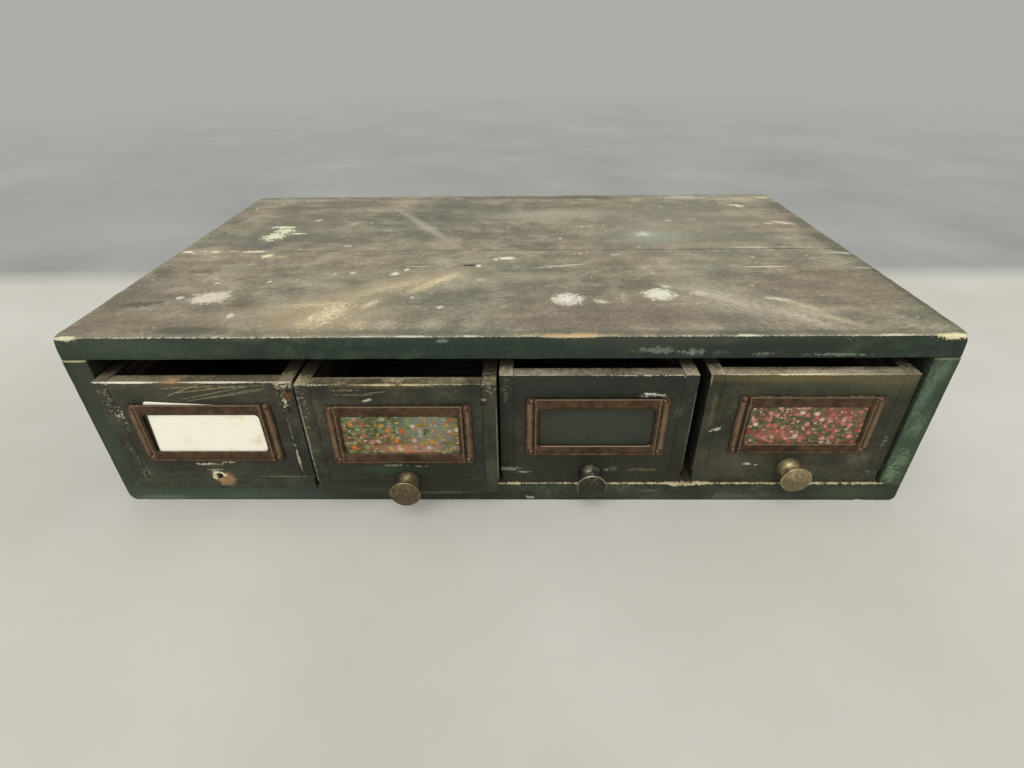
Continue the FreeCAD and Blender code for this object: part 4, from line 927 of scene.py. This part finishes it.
# The knobs are turned from solid brass: a bell foot, a narrow waist and a disc head with a raised rim and a
# low crown. Nobody polishes them, so they are brown, yellower on drawer 4 and nearly black on drawer 3.
def old_brass(name, dull, rubbed_and_highlit, rubbed_and_highlit_share, dirtiest):
    """Tarnished turned brass: dull brown with dirt in specks of 2 mm. It is yellower where fingers rub it,
    and towards the top of the knob as a painted highlight.
    """
    material, tree, shader, place = new_material(name)
    patches = add(tree, "TexNoise", {"Scale": 160.0, "Detail": 6.0, "Roughness": 0.7}, {"Vector": place})
    specks = add(tree, "TexNoise", {"Scale": 420.0, "Detail": 4.0}, {"Vector": place})
    handled = add(tree, "Attribute", {"attribute_name": "handled"}).outputs["Fac"]
    level = add(tree, "Math", {"operation": "MULTIPLY_ADD", 1: 0.9}, {0: handled, 2: patches})
    level = add(tree, "Math", {"operation": "MULTIPLY_ADD", 1: 0.25}, {0: specks, 2: level})
    mask = add(tree, "MapRange",
               {"From Min": 0.95 - rubbed_and_highlit_share, "From Max": 1.25 - rubbed_and_highlit_share}, {"Value": level})
    colour = add(tree, "MixRGB", {"Color1": linear(dull), "Color2": linear(rubbed_and_highlit)}, {"Fac": mask})
    dirt = add(tree, "MapRange", {"From Min": 0.38, "From Max": 0.6, "To Min": dirtiest, "To Max": 1.12},
               {"Value": specks})
    colour = add(tree, "MixRGB", {"blend_type": "MULTIPLY", "Fac": 1.0}, {"Color1": colour, "Color2": dirt})
    rough = add(tree, "MapRange", {"To Min": 0.5, "To Max": 0.3}, {"Value": mask})
    bump = add(tree, "Bump", {"Strength": 0.3, "Distance": 0.0002}, {"Height": specks})
    feed(tree, shader, {"Base Color": colour, "Roughness": rough, "Normal": bump})
    shader.inputs["Metallic"].default_value = 0.85
    return material


# The knob's outline, as radius and distance from the wood in mm, and how many points go round it
KNOB_OUTLINE = [
    (0.0, 0.05), (5.0, 0.05), (9.0, 0.05), (9.5, 0.25), (9.6, 0.7), (9.6, 1.2), (9.5, 1.6), (9.1, 2.7),
    (8.55, 4.0), (7.8, 5.5), (6.7, 6.9), (5.5, 7.9), (4.5, 8.5), (4.1, 9.0), (4.0, 9.7), (4.05, 10.6),
    (4.4, 11.4), (5.5, 12.5), (7.3, 13.8), (9.5, 15.0), (11.3, 15.8), (12.0, 16.15), (12.2, 16.6),
    (12.2, 17.3), (12.0, 17.75), (11.6, 17.95), (11.2, 17.9), (10.8, 17.85), (10.2, 18.05), (8.6, 18.6),
    (6.4, 19.2), (3.4, 19.75), (0.0, 19.95),
]
TURNS = 72
HEAD_RADIUS = 12
KNOBS = {
    2: ((-81.0, 33.4), "#6d614a", "#a3926e", 0.15, 0.62),
    3: ((68.4, 29.6), "#43433a", "#a5a18a", 0.14, 0.72),
    4: ((231.8, 36.3), "#85795a", "#b6a77e", 0.28, 0.8),
}
for number, ((knob_x, knob_z), dull, rubbed_and_highlit, rubbed_and_highlit_share, dirtiest) in KNOBS.items():
    rows, quads = [], []
    angle = np.arange(TURNS) * math.tau / TURNS
    for row, (radius, out) in enumerate(KNOB_OUTLINE):
        depth = np.full(TURNS, FRONTS[number] - out)
        rows.append(np.stack([knob_x + radius * np.cos(angle), depth, knob_z + radius * np.sin(angle)], 1))
        here = row * TURNS + np.arange(TURNS)
        following = row * TURNS + (np.arange(TURNS) + 1) % TURNS
        quads.append(np.stack([here, here + TURNS, following + TURNS, following], 1))
    points = np.concatenate(rows)
    points[:, 1] = np.minimum(points[:, 1] + 0.05 * spots(points, 6, number), FRONTS[number])
    # Hands rub the raised rim of the head. The knob is also painted lighter towards its top and darker
    # towards its bottom, painted highlight and shade as if lit from above, more on the foot and the waist
    rim = [0.45 if 16.2 <= out <= 18.1 and radius > 11.3 else 0.0 for radius, out in KNOB_OUTLINE]
    neck = [0.2 if out < 12 else 0.0 for radius, out in KNOB_OUTLINE]
    rim, neck = np.repeat(rim, TURNS), np.repeat(neck, TURNS)
    painted_top_light = np.clip((points[:, 2] - knob_z) / HEAD_RADIUS, -1, 1)
    handled = {"handled": rim + (0.3 + neck) * painted_top_light}
    brass = old_brass("old turned brass %d" % number, dull, rubbed_and_highlit, rubbed_and_highlit_share, dirtiest)
    knob = new_object("knob_%d_turned" % number, points, np.concatenate(quads[:-1]), brass, handled)
    knob.data.validate()
    finer = knob.modifiers.new("finer", "SUBSURF")
    finer.levels = 1
    finer.render_levels = 1
    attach(knob, "drawer_%d" % number)
    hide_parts("drawer_%d_knob" % number)


# The cards are thin pasteboard that stands loose in the holders, a little bowed with age.
# The left one is plain cream with foxing, and the other two are printed with small flowers.
CARD_THICKNESS = 0.45
CARD_BOW = 0.45
CARD_CORNER = 2.5


def card_mesh(name, body, node, middle, size, tilt, material):
    """A thin bowed card with rounded corners, in the place of a CAD card."""
    half_width, half_height = size[0] / 2, size[1] / 2
    columns, rows = np.linspace(-half_width, half_width, 49), np.linspace(-half_height, half_height, 29)
    across, up = np.meshgrid(columns, rows, indexing="ij")
    bow = CARD_BOW * (1 - (across / half_width) ** 2) * (0.5 + 0.5 * up / half_height)
    across, up = rounded(across, up, half_width, half_height, CARD_CORNER, 0)
    turn = math.radians(tilt)
    side = across * math.cos(turn) + up * math.sin(turn)
    rise = up * math.cos(turn) - across * math.sin(turn)
    points = np.stack([middle[0] + side, middle[1] - bow, middle[2] + rise], -1).reshape(-1, 3)
    piece = new_object(name, points, sheet_cells(across.shape).reshape(-1, 4), material, {})
    sheet = piece.modifiers.new("sheet", "SOLIDIFY")
    sheet.thickness = CARD_THICKNESS * MM
    sheet.offset = 1
    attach(piece, body)
    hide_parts(node)


def paper(name):
    """Uncoated card: pale and matt, with a tooth of fibres. It is given with its tree, shader and place."""
    material, tree, shader, place = new_material(name)
    shader.inputs["Roughness"].default_value = 0.7
    shader.inputs["Specular IOR Level"].default_value = 0.3
    # Real fibres are some 0.05 mm wide. They are drawn at 0.4 mm, so that they show.
    fibres = add(tree, "TexNoise", {"Scale": 2500.0, "Detail": 2.0}, {"Vector": place})
    bump = add(tree, "Bump", {"Strength": 0.15, "Distance": 0.0001}, {"Height": fibres})
    feed(tree, shader, {"Normal": bump})
    return material, tree, shader, place


plain, tree, shader, place = paper("cream pasteboard with foxing")
foxing = add(tree, "TexNoise", {"Scale": 60.0, "Detail": 6.0, "Roughness": 0.7}, {"Vector": place})
cream = add(tree, "ValToRGB",
            {"stops": [(0.3, "#e8dfc2"), (0.42, "#f8f3dd"), (0.62, "#fbf7e6"), (0.74, "#efe7cb")]},
            {"Fac": foxing})
feed(tree, shader, {"Base Color": cream})


def flowers(name, ground, blooms, bands):
    """Printed flowers, in cells of 5.6 mm and 2.8 mm, over mottled leaves with wider patches of colour."""
    material, tree, shader, place = paper(name)
    part = add(tree, "SeparateXYZ", {}, {0: place})
    sheet = add(tree, "CombineXYZ", {}, {0: part.outputs["X"], 1: part.outputs["Z"]})
    # The outlines wander by up to 5 mm, so that the cells don't show
    wander = add(tree, "TexNoise", {"Scale": 700.0, "Detail": 3.0}, {"Vector": sheet}).outputs["Color"]
    sheet = add(tree, "VectorMath", {"operation": "MULTIPLY_ADD", 1: (0.005, 0.003, 0)},
                {0: wander, 2: sheet})
    garden = add(tree, "TexNoise", {"Scale": 330.0, "Detail": 5.0, "Roughness": 0.7}, {"Vector": sheet})
    colour = add(tree, "ValToRGB", {"stops": ground}, {"Fac": garden})
    for centre, half, turn, strength, hue in bands:
        oval = add(tree, "Mapping", {
            "vector_type": "TEXTURE", "Location": Vector(centre) * MM, "Scale": Vector(half) * 2 * MM,
            "Rotation": (0, math.radians(turn), 0)}, {"Vector": place})
        inside = add(tree, "TexGradient", {"gradient_type": "SPHERICAL"}, {"Vector": oval}).outputs["Fac"]
        outline = add(tree, "Math", {"operation": "SUBTRACT"}, {0: inside, 1: garden})
        mask = add(tree, "MapRange", {"From Min": -0.1, "From Max": 0.2, "To Max": strength},
                   {"Value": outline})
        colour = add(tree, "MixRGB", {"Color2": linear(hue)}, {"Fac": mask, "Color1": colour})
    for size, share in ((2.8, 0.45), (5.6, 0.6)):
        cells = add(tree, "TexVoronoi", {"voronoi_dimensions": "2D", "Scale": 1000 / size}, {"Vector": sheet})
        pick = add(tree, "SeparateColor", {}, {0: cells.outputs["Color"]})
        hues = add(tree, "ValToRGB", {"stops": blooms}, {"Fac": pick})
        petals = add(tree, "Math", {"operation": "MULTIPLY_ADD", 1: 0.8},
                     {0: garden, 2: cells.outputs["Distance"]})
        shade = add(tree, "MapRange", {"From Min": 0.32, "From Max": 0.74, "To Min": 1.25, "To Max": 0.6},
                    {"Value": petals})
        hues = add(tree, "MixRGB", {"blend_type": "MULTIPLY", "Fac": 1.0}, {"Color1": hues, "Color2": shade})
        bloom = add(tree, "MapRange", {"From Min": 0.84, "From Max": 0.76}, {"Value": petals})
        chosen = add(tree, "Math", {"operation": "LESS_THAN", 1: share}, {0: pick.outputs[1]})
        bloom = add(tree, "Math", {"operation": "MULTIPLY"}, {0: bloom, 1: chosen})
        colour = add(tree, "MixRGB", {}, {"Fac": bloom, "Color1": colour, "Color2": hues})
    feed(tree, shader, {"Base Color": colour})
    shader.inputs["Roughness"].default_value = 0.5
    return material


mixed_border = flowers(
    "printed card with a mixed border",
    [(0.3, "#1c2519"), (0.45, "#3b442b"), (0.58, "#6d6f47"), (0.7, "#a09975")],
    [(0.0, "#c3632d"), (0.2, "#d2a749"), (0.38, "#455d34"),
     (0.55, "#c9bda3"), (0.7, "#9e4733"), (0.85, "#829261")],
    [((-60, -209, 84), (22, 9, 20), 20, 0.8, "#7d7e73"), ((-100, -209, 70), (26, 9, 8), 0, 0.6, "#73452d"),
     ((-78, -209, 66), (26, 9, 5), 0, 0.7, "#bd7e6d")],
)
pink_meadow = flowers(
    "printed card with pink flowers",
    [(0.3, "#202a1d"), (0.45, "#40482f"), (0.58, "#686544"), (0.7, "#8d604a")],
    [(0.0, "#d39687"), (0.25, "#b86959"), (0.45, "#debdab"), (0.65, "#c37362"), (0.85, "#95453a")],
    [((258, -196, 88), (20, 9, 8), 0, 0.5, "#8b5045"), ((214, -196, 70), (20, 9, 6), 0, 0.5, "#9a6155")],
)
# Where the cards' middles are, with their backs this far from the wood
OFF_WOOD = 0.2
left_card = (-233.8, FRONTS[1] - OFF_WOOD, 80.4)
mid_card = (-82.4, FRONTS[2] - OFF_WOOD, 79.86)
right_card = (234.8, FRONTS[4] - OFF_WOOD, 78.91)
card_mesh("card_1_cream", "card_1", "drawer_1_card", left_card, (88, 52), 3.0, plain)
card_mesh("card_2_printed", "card_2", "drawer_2_card", mid_card, (92.6, 53.5), 0, mixed_border)
card_mesh("card_4_printed", "card_4", "drawer_4_card", right_card, (93.6, 54), 0, pink_meadow)


# The floor is one wide sheet of pale cloth that lies flat under the cabinet, matt and slightly mottled.
# It is greyer where it runs back behind the cabinet, and further off it takes the colour of the room.
cloth, tree, shader, place = new_material("pale cloth")
folds = add(tree, "TexNoise", {"Scale": 3.0, "Detail": 6.0, "Roughness": 0.55}, {"Vector": place})
pale = add(tree, "ValToRGB", {"stops": [(0.3, "#d0cdc3"), (0.7, "#e1dfd5")]}, {"Fac": folds})
grey = add(tree, "ValToRGB", {"stops": [(0.3, "#a0a19e"), (0.7, "#b3b4b0")]}, {"Fac": folds})
depth = add(tree, "SeparateXYZ", {}, {0: place}).outputs["Y"]
further = add(tree, "MapRange", {"From Min": 0.29, "From Max": 0.36}, {"Value": depth})
away = add(tree, "VectorMath", {"operation": "LENGTH"}, {0: place}).outputs["Value"]
furthest = add(tree, "MapRange", {"From Min": 1.0, "From Max": 3.5}, {"Value": away})
colour = add(tree, "MixRGB", {}, {"Fac": further, "Color1": pale, "Color2": grey})
colour = add(tree, "MixRGB", {"Color2": linear("#b5b6b2")}, {"Fac": furthest, "Color1": colour})
feed(tree, shader, {"Base Color": colour})
shader.inputs["Roughness"].default_value = 0.95
shader.inputs["Specular IOR Level"].default_value = 0.1
floor_corners = 9000 * np.array([(-1, -1, 0), (1, -1, 0), (1, 1, 0), (-1, 1, 0)])
floor = new_object("floor_cloth", floor_corners, np.array([(0, 1, 2, 3)]), cloth, {})


# The light is wide and soft, from above and in front and a little to the left, in an even pale room.
# The camera and anything shiny see the room as about the same grey as the floor far away.
world = bpy.data.worlds.new("room")
world.use_nodes = True
tree = world.node_tree
room = tree.nodes["Background"]
room.inputs["Color"].default_value = linear("#f6f6f4")
room.inputs["Strength"].default_value = 0.55
seen = add(tree, "Background", {"Color": linear("#aeafab"), "Strength": 1.0})
path = add(tree, "LightPath")
looked_at = add(tree, "Math", {"operation": "MAXIMUM"},
                {0: path.outputs["Is Camera Ray"], 1: path.outputs["Is Glossy Ray"]})
looked_at = add(tree, "Math", {"operation": "MAXIMUM"},
                {0: looked_at, 1: path.outputs["Is Transmission Ray"]})
both = add(tree, "MixShader", {}, {0: looked_at, 1: room, 2: seen})
feed(tree, tree.nodes["World Output"], {"Surface": both})
bpy.context.scene.world = world
ceiling_data = bpy.data.lights.new("ceiling", "SUN")
ceiling_data.energy = 1.75
ceiling_data.angle = math.radians(55)
ceiling = bpy.data.objects.new("ceiling", ceiling_data)
ceiling.rotation_euler = Vector((-0.2, -1.0, 1)).to_track_quat("Z", "Y").to_euler()
bpy.context.scene.collection.objects.link(ceiling)
bpy.context.scene.view_settings.view_transform = "Standard"


# The camera has a wide lens, and is held above the front of the cabinet, looking down. Its place, turn and
# lens are those with which the corners of the case fall where the photograph has them.
camera_data = bpy.data.cameras.new("camera")
camera_data.sensor_width = 36
camera_data.lens = 19.78
camera = bpy.data.objects.new("camera", camera_data)
bpy.context.scene.collection.objects.link(camera)
camera.matrix_world = (
    Matrix.Translation((0.011, -0.5556, 0.3458))
    @ Matrix.Rotation(math.radians(1.0622), 4, "Z")
    @ Matrix.Rotation(math.radians(90 - 32.4048), 4, "X")
    @ Matrix.Rotation(math.radians(-0.7038), 4, "Z")
)
bpy.context.scene.camera = camera
